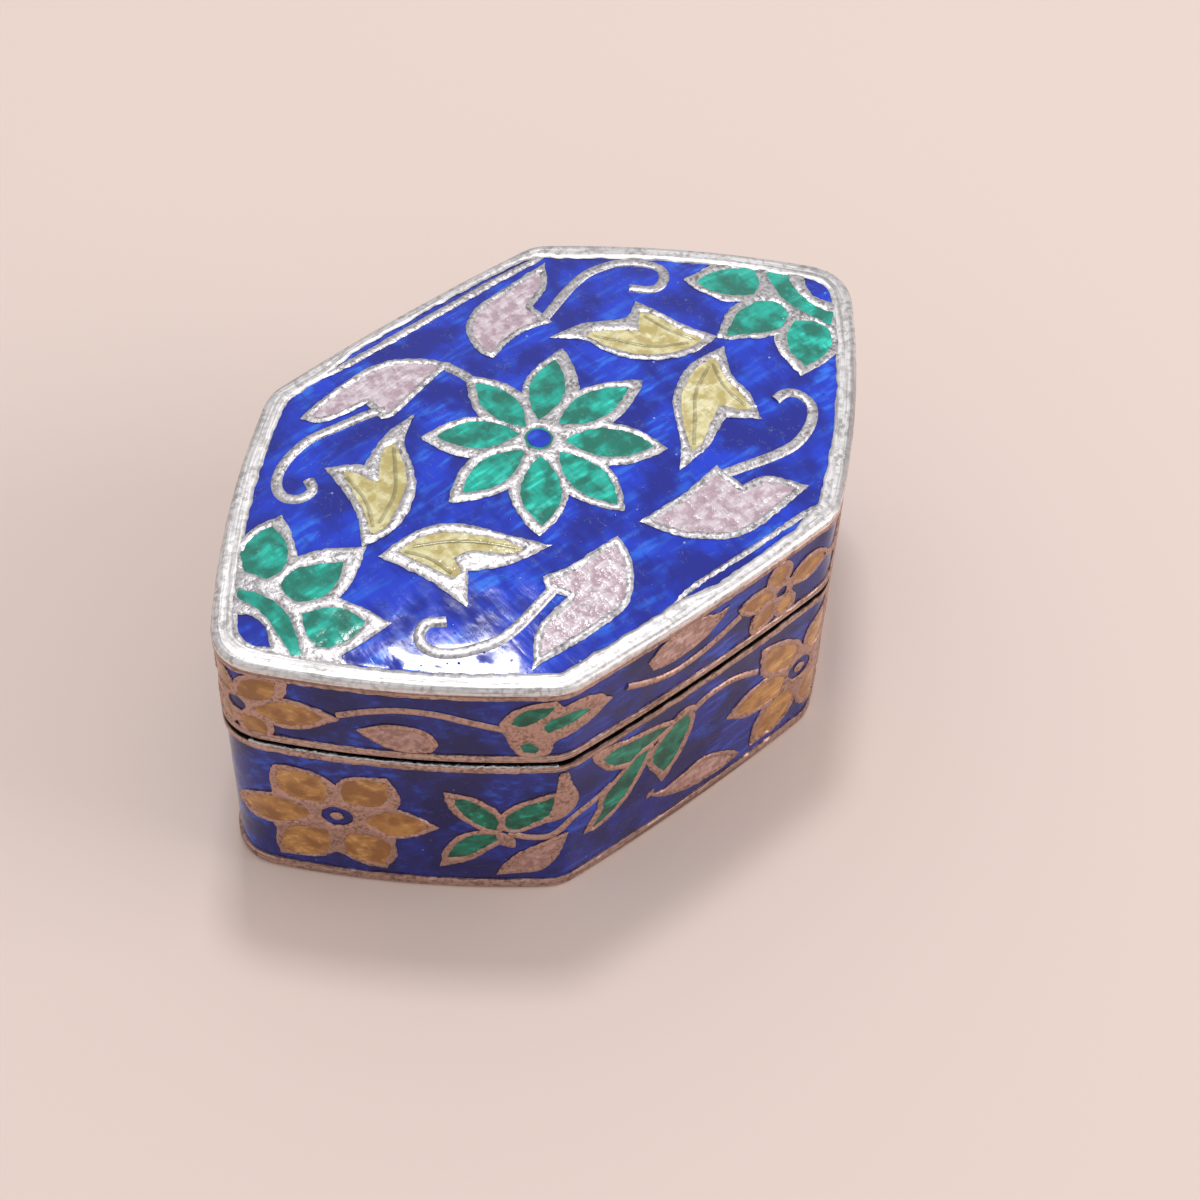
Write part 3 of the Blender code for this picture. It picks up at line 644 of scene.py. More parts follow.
def silver_material(name, metal, shade, grain_scale, depth, brushed=False, seam=None):
    """Silver with grain, strokes along its UV map where it is brushed, and painted shade in the seam."""
    material, tree, shader = principled(name)
    dark = (*shade, 1)
    place, outputs = effect(tree, SILVER_GROUP, Metal=(*metal, 1), Shade=dark, Grain=grain_scale)
    colour, rough, height = outputs
    if brushed:
        along = add(tree, "ShaderNodeUVMap", {"uv_map": "along"}).outputs[0]
        strokes = grain(tree, along, BRUSH_SCALE, 4.0, FINE_BRUSH)
        lines = grain(tree, along, BRUSH_SCALE, 2.0, BROAD_BRUSH)
        colour = mixed(tree, between(tree, strokes, 0.52, 0.34, 0.0, 0.55), colour, dark)
        colour = mixed(tree, between(tree, lines, 0.44, 0.36, 0.0, 0.6), colour, dark)
        height = math_node(tree, "MULTIPLY_ADD", strokes, 1.1, height)
        height = math_node(tree, "MULTIPLY_ADD", lines, 1.2, height)
    # The band at the seam is painted near-black: painted shade in the gap between lid and tray.
    if seam:
        level = add(tree, "ShaderNodeSeparateXYZ", Vector=place).outputs["Z"]
        above = between(tree, level, *((seam[0] - edge) * MM for edge in SEAM_SHADE_BELOW))
        below = between(tree, level, *((seam[1] + edge) * MM for edge in SEAM_SHADE_ABOVE))
        colour = mixed(tree, math_node(tree, "MULTIPLY", above, below), colour, SEAM_SHADE)
    tree.links.new(colour, shader.inputs["Base Color"])
    tree.links.new(rough, shader.inputs["Roughness"])
    shader.inputs["Metallic"].default_value = 1.0
    bump(tree, shader, height, depth)
    return material


SILVER_TOP = silver_material("silver_top", (0.67, 0.65, 0.67), (0.22, 0.20, 0.21), 4600.0, 0.00005)
SILVER_RIM = silver_material("silver_rim", (0.84, 0.82, 0.83), (0.40, 0.38, 0.38), 3600.0, 0.000013, True)
# The side and wall silvers are darker and rosier than the top: painted shade and a painted reflection of
# warm surroundings.
SILVER_SIDE_SHADED = silver_material("silver_side", (0.55, 0.35, 0.29), (0.20, 0.11, 0.08), 5200.0, 0.00003)
SILVER_WALL_SHADED = silver_material("silver_wall", (0.60, 0.41, 0.35), (0.20, 0.11, 0.08), 4200.0, 0.00003,
                              brushed=True, seam=(TRAY_TOP, LID_BOTTOM))
print("silvers:", [silver.name for silver in (SILVER_TOP, SILVER_RIM, SILVER_SIDE_SHADED, SILVER_WALL_SHADED)])

# %% [markdown]
# ## Enamel materials
#
# Every enamel has a deep, a middle and a bright tone of one colour, and a pale fleck. A low roughness alone
# would make it shiny, but a coat over the rougher colour is closer to glass. The sides get copies of each
# enamel with less coat and shine, whose darker colours are painted shade and whose warmer tint is a painted
# reflection of warm surroundings. The yellow turns a brownish orange there, and the pink turns warmer.

# %% Make the enamels
COAT_ROUGHNESS = 0.06


def enamel_material(name, deep, mid, bright, fleck, cloud=420.0, streak=2200.0, depth=0.00003,
                    coat=0.6, shine=0.5):
    """Glossy enamel in one colour."""
    material, tree, shader = principled(name)
    tones = {"Deep": deep, "Mid": mid, "Bright": bright, "Fleck": fleck}
    colours = {label: (*tone, 1) for label, tone in tones.items()}
    outputs = effect(tree, ENAMEL_GROUP, Cloud=cloud, Streak=streak, **colours)[1]
    tree.links.new(outputs["Color"], shader.inputs["Base Color"])
    tree.links.new(outputs["Roughness"], shader.inputs["Roughness"])
    shader.inputs["Coat Weight"].default_value = coat
    shader.inputs["Specular IOR Level"].default_value = shine
    shader.inputs["Coat Roughness"].default_value = COAT_ROUGHNESS
    bump(tree, shader, outputs["Height"], depth)
    return material


COBALT_TOP = enamel_material("cobalt_top", (0.008, 0.018, 0.30), (0.010, 0.050, 0.68), (0.03, 0.20, 0.95),
                             (0.35, 0.5, 0.8), depth=0.00006, shine=0.25)
# Cobalt for the sides, darker than the top: painted shade, with a painted warm reflection.
COBALT_SIDE_SHADED = enamel_material("cobalt_side", (0.006, 0.006, 0.09), (0.010, 0.015, 0.21),
                              (0.015, 0.075, 0.52), (0.12, 0.2, 0.5), coat=0.1, shine=0.22)
EMERALD_TOP = enamel_material("emerald_top", (0.0, 0.18, 0.13), (0.0, 0.45, 0.35), (0.03, 0.84, 0.67),
                              (0.4, 0.9, 0.7), cloud=900.0, streak=3200.0, depth=0.00006)
# Emerald for the sides, darker than the top: painted shade.
EMERALD_SIDE_SHADED = enamel_material("emerald_side", (0.0, 0.07, 0.04), (0.0, 0.17, 0.10), (0.02, 0.40, 0.25),
                               (0.3, 0.6, 0.4), cloud=900.0, streak=3200.0, depth=0.00005, coat=0.1,
                               shine=0.25)
YELLOW_TOP = enamel_material("yellow_top", (0.55, 0.45, 0.17), (0.82, 0.76, 0.43), (0.97, 0.94, 0.70),
                             (0.95, 0.93, 0.8), cloud=1500.0, streak=4200.0, depth=0.00007, coat=0.3)
# Yellow for the sides, darkened and warmed to a brownish orange: painted shade and a painted warm
# reflection.
YELLOW_SIDE_SHADED = enamel_material("ochre_side", (0.30, 0.12, 0.03), (0.50, 0.23, 0.06), (0.68, 0.38, 0.13),
                             (0.7, 0.45, 0.22), cloud=900.0, streak=3000.0, depth=0.00006, coat=0.1,
                             shine=0.3)
PINK_TOP = enamel_material("pink_top", (0.50, 0.36, 0.43), (0.74, 0.63, 0.69), (0.94, 0.90, 0.93),
                           (0.97, 0.95, 0.96), cloud=1900.0, streak=5600.0, depth=0.00011, coat=0.3)
# Pink for the sides, darker and warmer than the top: painted shade and a painted warm reflection.
PINK_SIDE_SHADED = enamel_material("pink_side", (0.32, 0.16, 0.13), (0.50, 0.28, 0.24), (0.66, 0.44, 0.39),
                            (0.75, 0.55, 0.5), cloud=2400.0, streak=5200.0, depth=0.00007, coat=0.1,
                            shine=0.3)
# The vein's darker yellow is painted shade for an engraved groove.
VEIN_TOP = enamel_material("vein_top", (0.33, 0.29, 0.13), (0.50, 0.45, 0.24), (0.8, 0.75, 0.5),
                           (0.9, 0.88, 0.8), cloud=1500.0, streak=4200.0, coat=0.2)
print("materials:", len(bpy.data.materials))

# %% [markdown]
# ## The silver tray and lid
#
# Both shells could be hexagons with Solidify and Bevel modifiers. Here one cross-section is
# carried around the plan, because every border and step then has its true place. The cross-section
# leaves a shallow field for the enamel between two plain borders. Where an inner edge was trimmed
# with a file it wanders a little, which the third number of a step allows.

# %% Carry a cross-section around the plan
EDGE_SCALE, LEVEL_STEP = 1.9, 3


def upright(flat, height):
    """Places straight above the plan."""
    return np.column_stack([flat, height])


def swept(steps, lift=None):
    """A closed wall: each step is (inset, height, unevenness), inner side first and outer side last."""
    rings = []
    for inset, height, uneven in steps:
        flat = ring(inset)
        z = np.full(len(flat), height, float)
        if lift is not None:
            z += np.where(height > lift, dome(flat[:, 0], flat[:, 1]), 0.0)
        if uneven:
            level = height * LEVEL_STEP
            shift = [noise.noise(Vector((x * EDGE_SCALE, y * EDGE_SCALE, level))) for x, y in flat]
            shift = np.array(shift) * uneven
            if lift is not None and height > lift:
                flat = flat + OUTWARD * shift[:, None]
            else:
                z += shift
        rings.append(np.column_stack([flat, z]))
    count, polygons = len(OUTLINE), []
    for row in range(len(rings)):
        low, high = row * count, (row + 1) % len(rings) * count
        for k in range(count):
            after = (k + 1) % count
            polygons.append((low + k, low + after, high + after, high + k))
    return np.vstack(rings), polygons


print("a cross-section is carried around", len(OUTLINE), "places")

# %% [markdown]
# Brushed strokes follow the edge, and a pattern on plain coordinates can't. So the shells get a UV
# map whose first axis runs around the box. Unwrapping could make one, but here the lengths are
# already known. The map starts and ends on a side that the photograph doesn't show.

# %% Unroll a map along the edge
SEAM_AT = int(np.argmax(ALONG > TURN * 5 / 6))


def give_edge_map(obj, rows):
    """A UV map, in metres, whose first axis runs along the edge and second across it."""
    mesh = obj.data
    layer = mesh.uv_layers.new(name="along")
    count = len(OUTLINE)
    along = np.where(np.arange(count) < SEAM_AT, ALONG[:-1], ALONG[:-1] - TURN)
    across = np.cumsum([0.0] + [math.hypot(a[0] - b[0], a[1] - b[1]) for a, b in zip(rows, rows[1:])])
    values = np.zeros((len(mesh.loops), 2))
    limit = count * len(rows)
    for polygon in mesh.polygons:
        for loop in polygon.loop_indices:
            vertex = mesh.loops[loop].vertex_index
            if vertex < limit:
                u = along[vertex % count]
                if vertex % count == SEAM_AT and polygon.vertices[0] % count == SEAM_AT - 1:
                    u = ALONG[SEAM_AT]
                values[loop] = u, across[vertex // count]
            else:
                values[loop] = mesh.vertices[vertex].co.x / MM, mesh.vertices[vertex].co.y / MM
    layer.data.foreach_set("uv", (values * MM).ravel())


print("the map's seam is", round(ALONG[SEAM_AT], 1), "mm from the left tip")

# %% [markdown]
# The tray's wall stands on the underside, holds the field for the blue band, and ends in the
# upright lip that the lid slips over. A thin sheet closes its floor.

# %% Make the tray's shell
FIELD = 0.45
FLOOR_INSET, FLOOR_TOP, FLOOR_UNDER, FLOOR_SPACING = 0.9, 1.0, 0.06, 3.0
tray_steps = [
    (1.20, 0.90, 0), (1.20, 0.0, 0), (0.30, 0.0, 0), (0.14, 0.03, 0), (0.04, 0.12, 0), (0.0, 0.28, 0),
    (0.0, 0.70, 0.10), (0.06, 0.80, 0.10), (FIELD, 0.84, 0), (FIELD, 10.96, 0), (0.06, 11.02, 0.09),
    (0.0, 11.11, 0.09), (0.0, 11.48, 0.03), (0.04, 11.58, 0.04), (0.14, 11.63, 0.02), (1.42, 11.63, 0),
    (1.50, 11.70, 0), (1.50, 13.55, 0), (1.60, 13.65, 0), (2.00, 13.65, 0), (2.10, 13.55, 0),
    (2.10, 9.72, 0), (2.03, 9.65, 0), (1.25, 9.60, 0), (1.20, 9.52, 0)]
floor_flat, floor_faces = filled([ring(FLOOR_INSET)[::4]], [], FLOOR_SPACING)
floor_sheet = slab(floor_flat, floor_faces, np.full(len(floor_flat), FLOOR_TOP), FLOOR_UNDER, upright)
tray_shell = piece("tray_shell", [swept(tray_steps), floor_sheet], SILVER_WALL_SHADED, ["base_body"])
give_edge_map(tray_shell, tray_steps)

# %% [markdown]
# The lid's cross-section runs up the inside, around the rim and into the sunken plate that carries
# the enamel. The rim and plate follow the dome. The rim could share the wall's material, but it
# is paler and smoother, so it is a piece of its own. Beside the two engraved lines of the long
# sides it is narrower.

# %% Make the lid's shell
PLATE, PLATE_UNDER, PLATE_INSET, PLATE_SPACING = -0.42, 17.0, 0.8, 1.0
DOMED_FROM = 17.6
NARROWING, NARROW_FROM, RAMP, BESIDE = 0.36, 0.65, 2.0, 2.0
FAR_SPAN, NEAR_SPAN = (-6.0, 9.5), (-1.0, 8.5)
lid_wall_steps = [
    (1.20, 16.9, 0), (1.20, 12.12, 0), (1.10, 12.0, 0), (0.15, 12.0, 0), (0.03, 12.03, 0),
    (0.0, 12.12, 0), (0.0, 12.44, 0.08), (0.06, 12.52, 0.08), (FIELD, 12.56, 0), (FIELD, 17.24, 0),
    (0.06, 17.29, 0.09), (0.0, 17.38, 0.09), (0.0, 17.7, 0), (0.10, 17.82, 0), (0.30, 17.7, 0),
    (0.9, 17.0, 0)]
rim_steps = [
    (0.6, 17.4, 0), (0.06, 17.7, 0), (0.0, 17.78, 0), (0.01, 17.92, 0), (0.07, 18.05, 0),
    (0.16, 18.13, 0.02), (0.28, 18.18, 0.03), (0.42, LID_TOP, 0.03), (0.56, LID_TOP - 0.02, 0.03),
    (0.70, LID_TOP, 0.03), (0.90, LID_TOP - 0.01, 0.07), (1.02, LID_TOP - 0.04, 0.09),
    (1.10, LID_TOP - 0.10, 0.10), (1.12, LID_TOP - 0.5, 0.06)]
rim_points, rim_polygons = swept(rim_steps, DOMED_FROM)
for k, (x, y, z) in enumerate(rim_points):
    start, end = FAR_SPAN if y > 0 else NEAR_SPAN
    share = min(max((x - start) / RAMP, 0.0), 1.0) * min(max((end - x) / RAMP, 0.0), 1.0)
    if rim_steps[k // len(OUTLINE)][0] > NARROW_FROM and abs(y) > PLAN_WIDTH / 2 - BESIDE:
        rim_points[k, 1] += math.copysign(NARROWING * share, y)
plate_flat, plate_faces = filled([ring(PLATE_INSET)[::3]], [], PLATE_SPACING)
rise = dome(plate_flat[:, 0], plate_flat[:, 1])
plate = slab(plate_flat, plate_faces, LID_TOP + PLATE + rise, PLATE_UNDER + rise, upright)
lid_shell = piece("lid_shell", [swept(lid_wall_steps), plate], SILVER_WALL_SHADED, ["lid_body"])
give_edge_map(lid_shell, lid_wall_steps)
lid_rim = piece("lid_rim", [(rim_points, rim_polygons)], SILVER_RIM)
give_edge_map(lid_rim, rim_steps)

# %% [markdown]
# ## The cobalt grounds
#
# The ground is one continuous sheet of deep blue glass between the borders. Real enamel shrinks as
# it cools and is ground back on a stone, so its face is slightly wavy and lies a hair below the
# silver. A bump in the material could fake the waves. Real ones also bend the edge of a reflection,
# and the mesh keeps them wherever it is used.

# %% Lay the blue grounds
GROUND_DEPTH, GROUND_UNDER, GROUND_WAVES, BAND_SCALE = -0.135, -0.5, 0.02, 0.9
GROUND_INSET, GROUND_SPACING, BAND_TUCK = 0.6, 0.33, 0.1
BAND_ROWS = {"tray": (0.76, 11.06, 34), "lid": (12.48, 17.32, 18)}


def band_sheet(low, high, rows):
    """A wavy closed band of enamel around the side."""
    heights = np.linspace(low, high, rows)
    back = FIELD + BAND_TUCK
    steps = [(back, low, 0)] + [(-GROUND_DEPTH, z, 0) for z in heights] + [(back, high, 0)]
    points, polygons = swept(steps)
    count = len(OUTLINE)
    for k in range(count, len(points) - count):
        push = noise.noise(Vector(points[k] * BAND_SCALE)) * GROUND_WAVES
        points[k, :2] += OUTWARD[k % count] * push
    return points, polygons


piece("tray_ground", [band_sheet(*BAND_ROWS["tray"])], COBALT_SIDE_SHADED, ["base_side_enamel"])
piece("lid_side_ground", [band_sheet(*BAND_ROWS["lid"])], COBALT_SIDE_SHADED, ["lid_side_enamel"])
ground_flat, ground_faces = filled([ring(GROUND_INSET)[::2]], [], GROUND_SPACING)
ground_height = GROUND_DEPTH + waves(ground_flat, scale=0.8, seed=5.0) * GROUND_WAVES
ground = slab(ground_flat, ground_faces, ground_height, GROUND_UNDER, on_top)
piece("lid_ground", [ground], COBALT_TOP,
      ["lid_top_ground", "corner_heart_1", "corner_heart_2"])

# %% [markdown]
# ## Dressing a motif
#
# A motif is one island of silver with its cells. One sheet with painted colours would be simpler,
# but its silver lines wouldn't stand up and catch light. So the silver is a sheet with windows,
# and each colour lies in sheets of its own under them, reaching a little way beneath the silver
# so that no gap shows.

# %% Cut the silver and lay the colours
SHEET_SPACING, CELL_SPACING = 0.17, 0.22
SHOULDER_WIDTH, SHOULDER_DROP, SILVER_UNDER, SILVER_GRAIN = 0.15, 0.075, -0.4, 0.035
CELL_DEPTH, CELL_TUCK, CELL_UNDER, CELL_GRAIN = -0.085, 0.12, -0.35, 0.02


def silver_sheet(silhouettes, windows, place, level=0.0, within=None):
    """A closed sheet of silver with windows and soft shoulders."""
    solid = [ragged(loop) for loop in silhouettes]
    holes = [ragged(loop) for loop in windows]
    flat, faces = filled(solid, holes, SHEET_SPACING, within)
    share = np.minimum(from_edge(flat, faces) / SHOULDER_WIDTH, 1.0)
    dents = waves(flat, scale=2.2, seed=1.0) * SILVER_GRAIN
    return slab(flat, faces, level - SHOULDER_DROP * (1 - share) ** 2 + dents * share, SILVER_UNDER, place)


def colour_sheet(cell, place, depth=CELL_DEPTH):
    """A closed sheet of enamel that fills one cell."""
    flat, faces = filled([widened(cell, CELL_TUCK)[::2]], [], CELL_SPACING)
    return slab(flat, faces, depth + waves(flat, scale=1.3, seed=2.0) * CELL_GRAIN, CELL_UNDER, place)


print("silver stands", -CELL_DEPTH, "mm above the colours")

# %% [markdown]
# ## The drawing of the lid's top
#
# The ornament was read off the photograph against the flat plane of the rim. The dome lifts it
# towards the camera, so every point is moved to where it truly lies. How far depends on the dome's
# height at the new place, so the place is found in a few rounds.

# %% Move the drawing onto the dome
LIFT_ROUNDS = 4


def from_view(points):
    """Moves points read against the plane of the rim to where they lie on the dome."""
    seen = np.array(points, float)
    eye = np.array(CAMERA_MM[:2])
    place = seen
    for _ in range(LIFT_ROUNDS):
        lift = dome(place[:, 0], place[:, 1]) / (CAMERA_MM[2] - LID_TOP)
        place = seen + (eye - seen) * lift[:, None]
    return place


def drawn(points):
    """A smooth outline of the top from a few points."""
    return leftward(smooth(from_view(points)))


def drawn_leaf(foot, tip, half_width):
    """A leaf on the top."""
    return leftward(from_view(leaf(foot, tip, half_width)))


print("what is seen at 0, 0 lies at", from_view([(0.0, 0.0)])[0])

# %% [markdown]
# Eight emerald petals stand around a blue eye. A circular array would make them all alike, but on
# the lid each has its own length and lean. A row below gives the tip of a petal's silver, then the
# foot, the tip and half the width of its cell.

# %% Draw the flower in the middle
FLOWER_MIDDLE = (0.2, 1.1)
FLOWER_DISC, HALO, EYE, EYE_DEPTH = 1.6, 0.74, 0.5, -0.06
PETAL_BORDER, SILVER_WIDER = 0.34, 0.52
PETALS = [
    ((0, 6.95), (0.15, 2.2), (0.05, 6.3), 0.88), ((5.25, 5.3), (1.0, 2.1), (4.45, 4.95), 0.95),
    ((7.1, 0.85), (1.6, 1.25), (6.2, 0.95), 0.92), ((5.05, -3.7), (1.2, 0.2), (4.6, -3.1), 1.0),
    ((0.5, -5.5), (0.45, -0.35), (0.5, -4.9), 0.95), ((-4.0, -4.1), (-0.55, 0.1), (-3.45, -3.65), 1.05),
    ((-6.15, 0.6), (-0.95, 0.95), (-5.2, 0.65), 0.93), ((-4.6, 5.0), (-0.4, 2.0), (-3.9, 4.55), 0.95)]
top_silver, top_green, top_yellow, top_pink = [], [], [], []
petal_cells = [drawn_leaf(foot, tip, half) for silver_tip, foot, tip, half in PETALS]
petal_silver = [drawn_leaf(FLOWER_MIDDLE, silver_tip, half + SILVER_WIDER)
                for silver_tip, foot, tip, half in PETALS]
petal_silver += [widened(cell, PETAL_BORDER) for cell in petal_cells]
petal_silver.append(from_view(disc(FLOWER_MIDDLE, FLOWER_DISC)))
halo = from_view(disc(FLOWER_MIDDLE, HALO))
top_silver.append(silver_sheet(petal_silver, petal_cells + [halo], on_top))
top_green += [colour_sheet(cell, on_top) for cell in petal_cells + [halo]]
eye = from_view(disc(FLOWER_MIDDLE, EYE))
piece("lid_eye", [colour_sheet(eye, on_top, EYE_DEPTH)], COBALT_TOP, ["flower_eye"])
print("middle flower:", len(petal_cells), "petals")

# %% [markdown]
# The yellow leaves have a long and a short lobe, and their feet nearly touch the sprays at the
# tips. One leaf could be mirrored three times, but no two are alike, so each is drawn.

# %% Draw the yellow leaves
YELLOW_BORDER = 0.33
YELLOW_CELLS = [
    [(-10.5, 1.35), (-9.9, 3.0), (-9.55, 4.6), (-9.2, 5.6), (-8.75, 5.2), (-8.4, 4.2), (-8.15, 3.9),
     (-7.6, 4.6), (-6.7, 5.5), (-5.9, 5.6), (-6.3, 4.4), (-7.1, 3.0), (-8.4, 2.0), (-9.6, 1.4)],
    [(-10.2, -0.35), (-9.7, -1.6), (-9.3, -2.8), (-9.1, -3.5), (-8.5, -3.4), (-8.3, -2.5), (-7.4, -2.6),
     (-6.5, -3.4), (-5.7, -4.1), (-5.1, -4.2), (-5.5, -3.3), (-6.4, -2.0), (-7.6, -0.8), (-8.9, -0.3)],
    [(11.7, 1.1), (11.2, 2.6), (10.8, 4.2), (10.4, 4.8), (9.9, 4.4), (9.4, 3.7), (8.5, 4.5), (7.3, 5.3),
     (6.9, 5.2), (7.3, 4.0), (8.2, 2.5), (9.6, 1.5), (10.9, 1.1)],
    [(11.3, -0.3), (10.8, -1.8), (10.6, -3.4), (10.4, -4.3), (9.9, -4.0), (9.2, -2.95), (8.0, -3.7),
     (6.9, -4.4), (5.9, -4.6), (6.5, -3.4), (7.5, -1.9), (8.8, -0.8), (10.2, -0.25)]]
YELLOW_SILVER = [
    [(-11.4, 1.0), (-10.6, 2.3), (-10.1, 4.0), (-9.8, 6.4), (-8.5, 5.7), (-8.1, 5.3), (-6, 6.3), (-3.9, 6.5),
     (-5.5, 5.3), (-6.1, 3.8), (-6.8, 2.6), (-8, 1.5), (-9.5, 0.9)],
    [(-11.2, 0), (-10.2, -2.5), (-9.7, -5.5), (-8.2, -3.6), (-6.5, -4.5), (-3.8, -4.95), (-5.2, -3.0),
     (-6.1, -1.5), (-7.3, -0.3), (-8.8, 0.15)],
    [(12.4, 0.8), (11.6, 2.7), (11.2, 4.2), (10.7, 5.6), (9.5, 5.0), (8.6, 5.4), (7.2, 6.1), (5.2, 6.4),
     (6.6, 5.1), (6.9, 3.9), (7.9, 2.2), (9.5, 1.1), (10.9, 0.7)],
    [(12.2, 0), (11.2, -1.8), (11.0, -3.4), (10.3, -5.2), (8.9, -3.9), (6.9, -4.8), (4.5, -5.2),
     (6.1, -3.4), (7.1, -1.7), (8.6, -0.4), (10.2, 0.15)]]
for cell_points, silver_points in zip(YELLOW_CELLS, YELLOW_SILVER):
    cell = drawn(cell_points)
    top_silver.append(silver_sheet([drawn(silver_points), widened(cell, YELLOW_BORDER)], [cell], on_top))
    top_yellow.append(colour_sheet(cell, on_top))
print("yellow leaves:", len(YELLOW_CELLS))

# %% [markdown]
# The pink leaves curl along the long sides. Their borders are even, so only the silver is drawn,
# and each cell is its outline moved inwards.

# %% Draw the pink leaves
PINK_BORDER = 0.4
PINK_SILVER = [
    [(-8.8, 10), (-7, 10.4), (-4.5, 10.7), (-2.5, 10.4), (-1, 9.3), (-0.1, 8.2), (-3.2, 7.5), (-4.9, 7.1),
     (-5.5, 7.3), (-5.4, 8.7), (-6.9, 8.8), (-8.2, 9.2)],
    [(-9.6, -10.4), (-5, -10.5), (-3.2, -10.2), (-2, -9.2), (-1.1, -7.7), (-0.8, -6.5), (-4, -6.5),
     (-5.5, -6.2), (-5.9, -7), (-5.3, -8), (-7.7, -8.6)],
    [(8.7, 11), (3.5, 10.6), (2, 9.6), (1.6, 8), (1.9, 7.1), (4, 7.6), (6.1, 7.2), (6.0, 8.8), (7.5, 9.5)],
    [(9.2, -10.2), (4.3, -10.5), (2, -9), (1.2, -7.8), (0.6, -6.5), (3.5, -6.5), (6.3, -6.1), (6.4, -8),
     (7.8, -8.3)]]
for silver_points in PINK_SILVER:
    outline = drawn(silver_points)
    cell = widened(outline, -PINK_BORDER)
    top_silver.append(silver_sheet([outline], [cell], on_top))
    top_pink.append(colour_sheet(cell, on_top))
print("pink leaves:", len(PINK_SILVER))

# %% [markdown]
# At each tip a silver spray grows out of the rim. It holds three emerald petals, an emerald
# crescent and a blue heart, through which the blue ground shows. Its outline is drawn past the
# rim, and the sheet is cut off under it. It lies a hair lower than the rest, to stay below it.

# %% Draw the sprays at the tips
TIP_BORDER, TIP_LEVEL = 0.3, -0.01
LEFT_TIP_SILVER = [
    (-15.8, 5.4), (-14.6, 5.4), (-13.4, 5.2), (-13.6, 4.2), (-14.1, 3.0), (-14.3, 2.5), (-13.2, 2.2),
    (-12.2, 1.5), (-11.2, 0.9), (-12.2, 0.1), (-13.3, -0.6), (-14.3, -0.9), (-13.7, -2.2), (-13.2, -3.8),
    (-14.6, -3.9), (-16.3, -3.9), (-19, -7), (-24, 0), (-19, 7)]
LEFT_TIP_CELLS = [
    [(-17.9, 2.7), (-17.3, 2.0), (-16.9, 0.8), (-16.9, -0.3), (-17.3, -1.6), (-17.8, -2.6), (-18.2, -2.3),
     (-18.0, -1.0), (-17.8, 0.3), (-17.9, 1.4), (-18.2, 2.2)],
    [(-16.1, 1.6), (-15.0, 1.9), (-13.7, 1.4), (-12.7, 0.8), (-13.5, 0.1), (-14.6, -0.3), (-15.8, 0.0),
     (-16.2, 0.8)],
    [(-17.0, 3.4), (-16.3, 4.5), (-15.2, 5.0), (-14.2, 4.9), (-14.2, 3.9), (-14.6, 3.0), (-15.5, 2.3),
     (-16.4, 2.3)],
    [(-16.3, -0.6), (-15.2, -1.0), (-14.4, -1.8), (-14.1, -2.9), (-15.0, -3.3), (-16.2, -3.2), (-17.0, -2.7),
     (-16.8, -1.5)]]
LEFT_HEART = [(-18.8, 1.4), (-18.3, 0.9), (-18.2, 0), (-18.7, -1.3), (-19.3, -0.6), (-19.4, 0.3)]
RIGHT_TIP_SILVER = [
    (16.2, 5.3), (15.0, 5.15), (13.9, 5.2), (13.9, 4.3), (14.2, 3.3), (14.6, 2.5), (15.2, 2.0),
    (14.2, 1.9), (13.2, 1.3), (12.4, 0.7), (13.3, 0.1), (14.1, -0.7), (15.0, -1.0), (14.4, -2.0),
    (14.2, -3.0), (14.0, -4.2), (15.4, -4.3), (16.8, -4.2), (19, -7), (24, 0), (19, 7)]
RIGHT_TIP_CELLS = [
    [(12.9, 0.5), (13.6, 1.0), (14.8, 1.5), (16.3, 1.2), (16.8, 0.5), (16.6, -0.5), (15.4, -0.8),
     (14.2, -0.3)],
    [(14.3, 4.5), (15.0, 4.7), (16.4, 4.3), (17.5, 3.4), (17.0, 2.4), (16.2, 1.9), (15.2, 2.6), (14.5, 3.6)],
    [(14.7, -3.8), (15.8, -3.9), (17.0, -3.5), (17.6, -2.7), (17.3, -1.6), (16.6, -1.0), (15.6, -1.4),
     (14.9, -2.4)],
    [(17.8, 2.8), (18.7, 2.1), (18.3, 0.8), (18.2, -0.3), (18.4, -1.4), (18.7, -1.8), (17.9, -2.4),
     (17.5, -1.0), (17.2, 0.3), (17.4, 1.6)]]
RIGHT_HEART = [(19.2, 1.1), (19.9, 0.5), (19.9, -0.2), (19.2, -1.3), (18.7, -0.4), (18.8, 0.5)]
UNDER_RIM = ring(0.9)
for silver_points, cells, heart in ((LEFT_TIP_SILVER, LEFT_TIP_CELLS, LEFT_HEART),
                                    (RIGHT_TIP_SILVER, RIGHT_TIP_CELLS, RIGHT_HEART)):
    windows = [drawn(points) for points in cells]
    silhouettes = [drawn(silver_points)] + [widened(cell, TIP_BORDER) for cell in windows]
    top_silver.append(silver_sheet(silhouettes, windows + [drawn(heart)], on_top, TIP_LEVEL, UNDER_RIM))
    top_green += [colour_sheet(cell, on_top) for cell in windows]
print("emerald cells on top:", len(top_green))

# %% [markdown]
# Along the two long sides a thin silver line runs beside the rim, with a sliver of blue between.
# That is the last of the silver, and the pieces of the top are made: one for each finish, because
# a piece with one material is the easiest to use again.

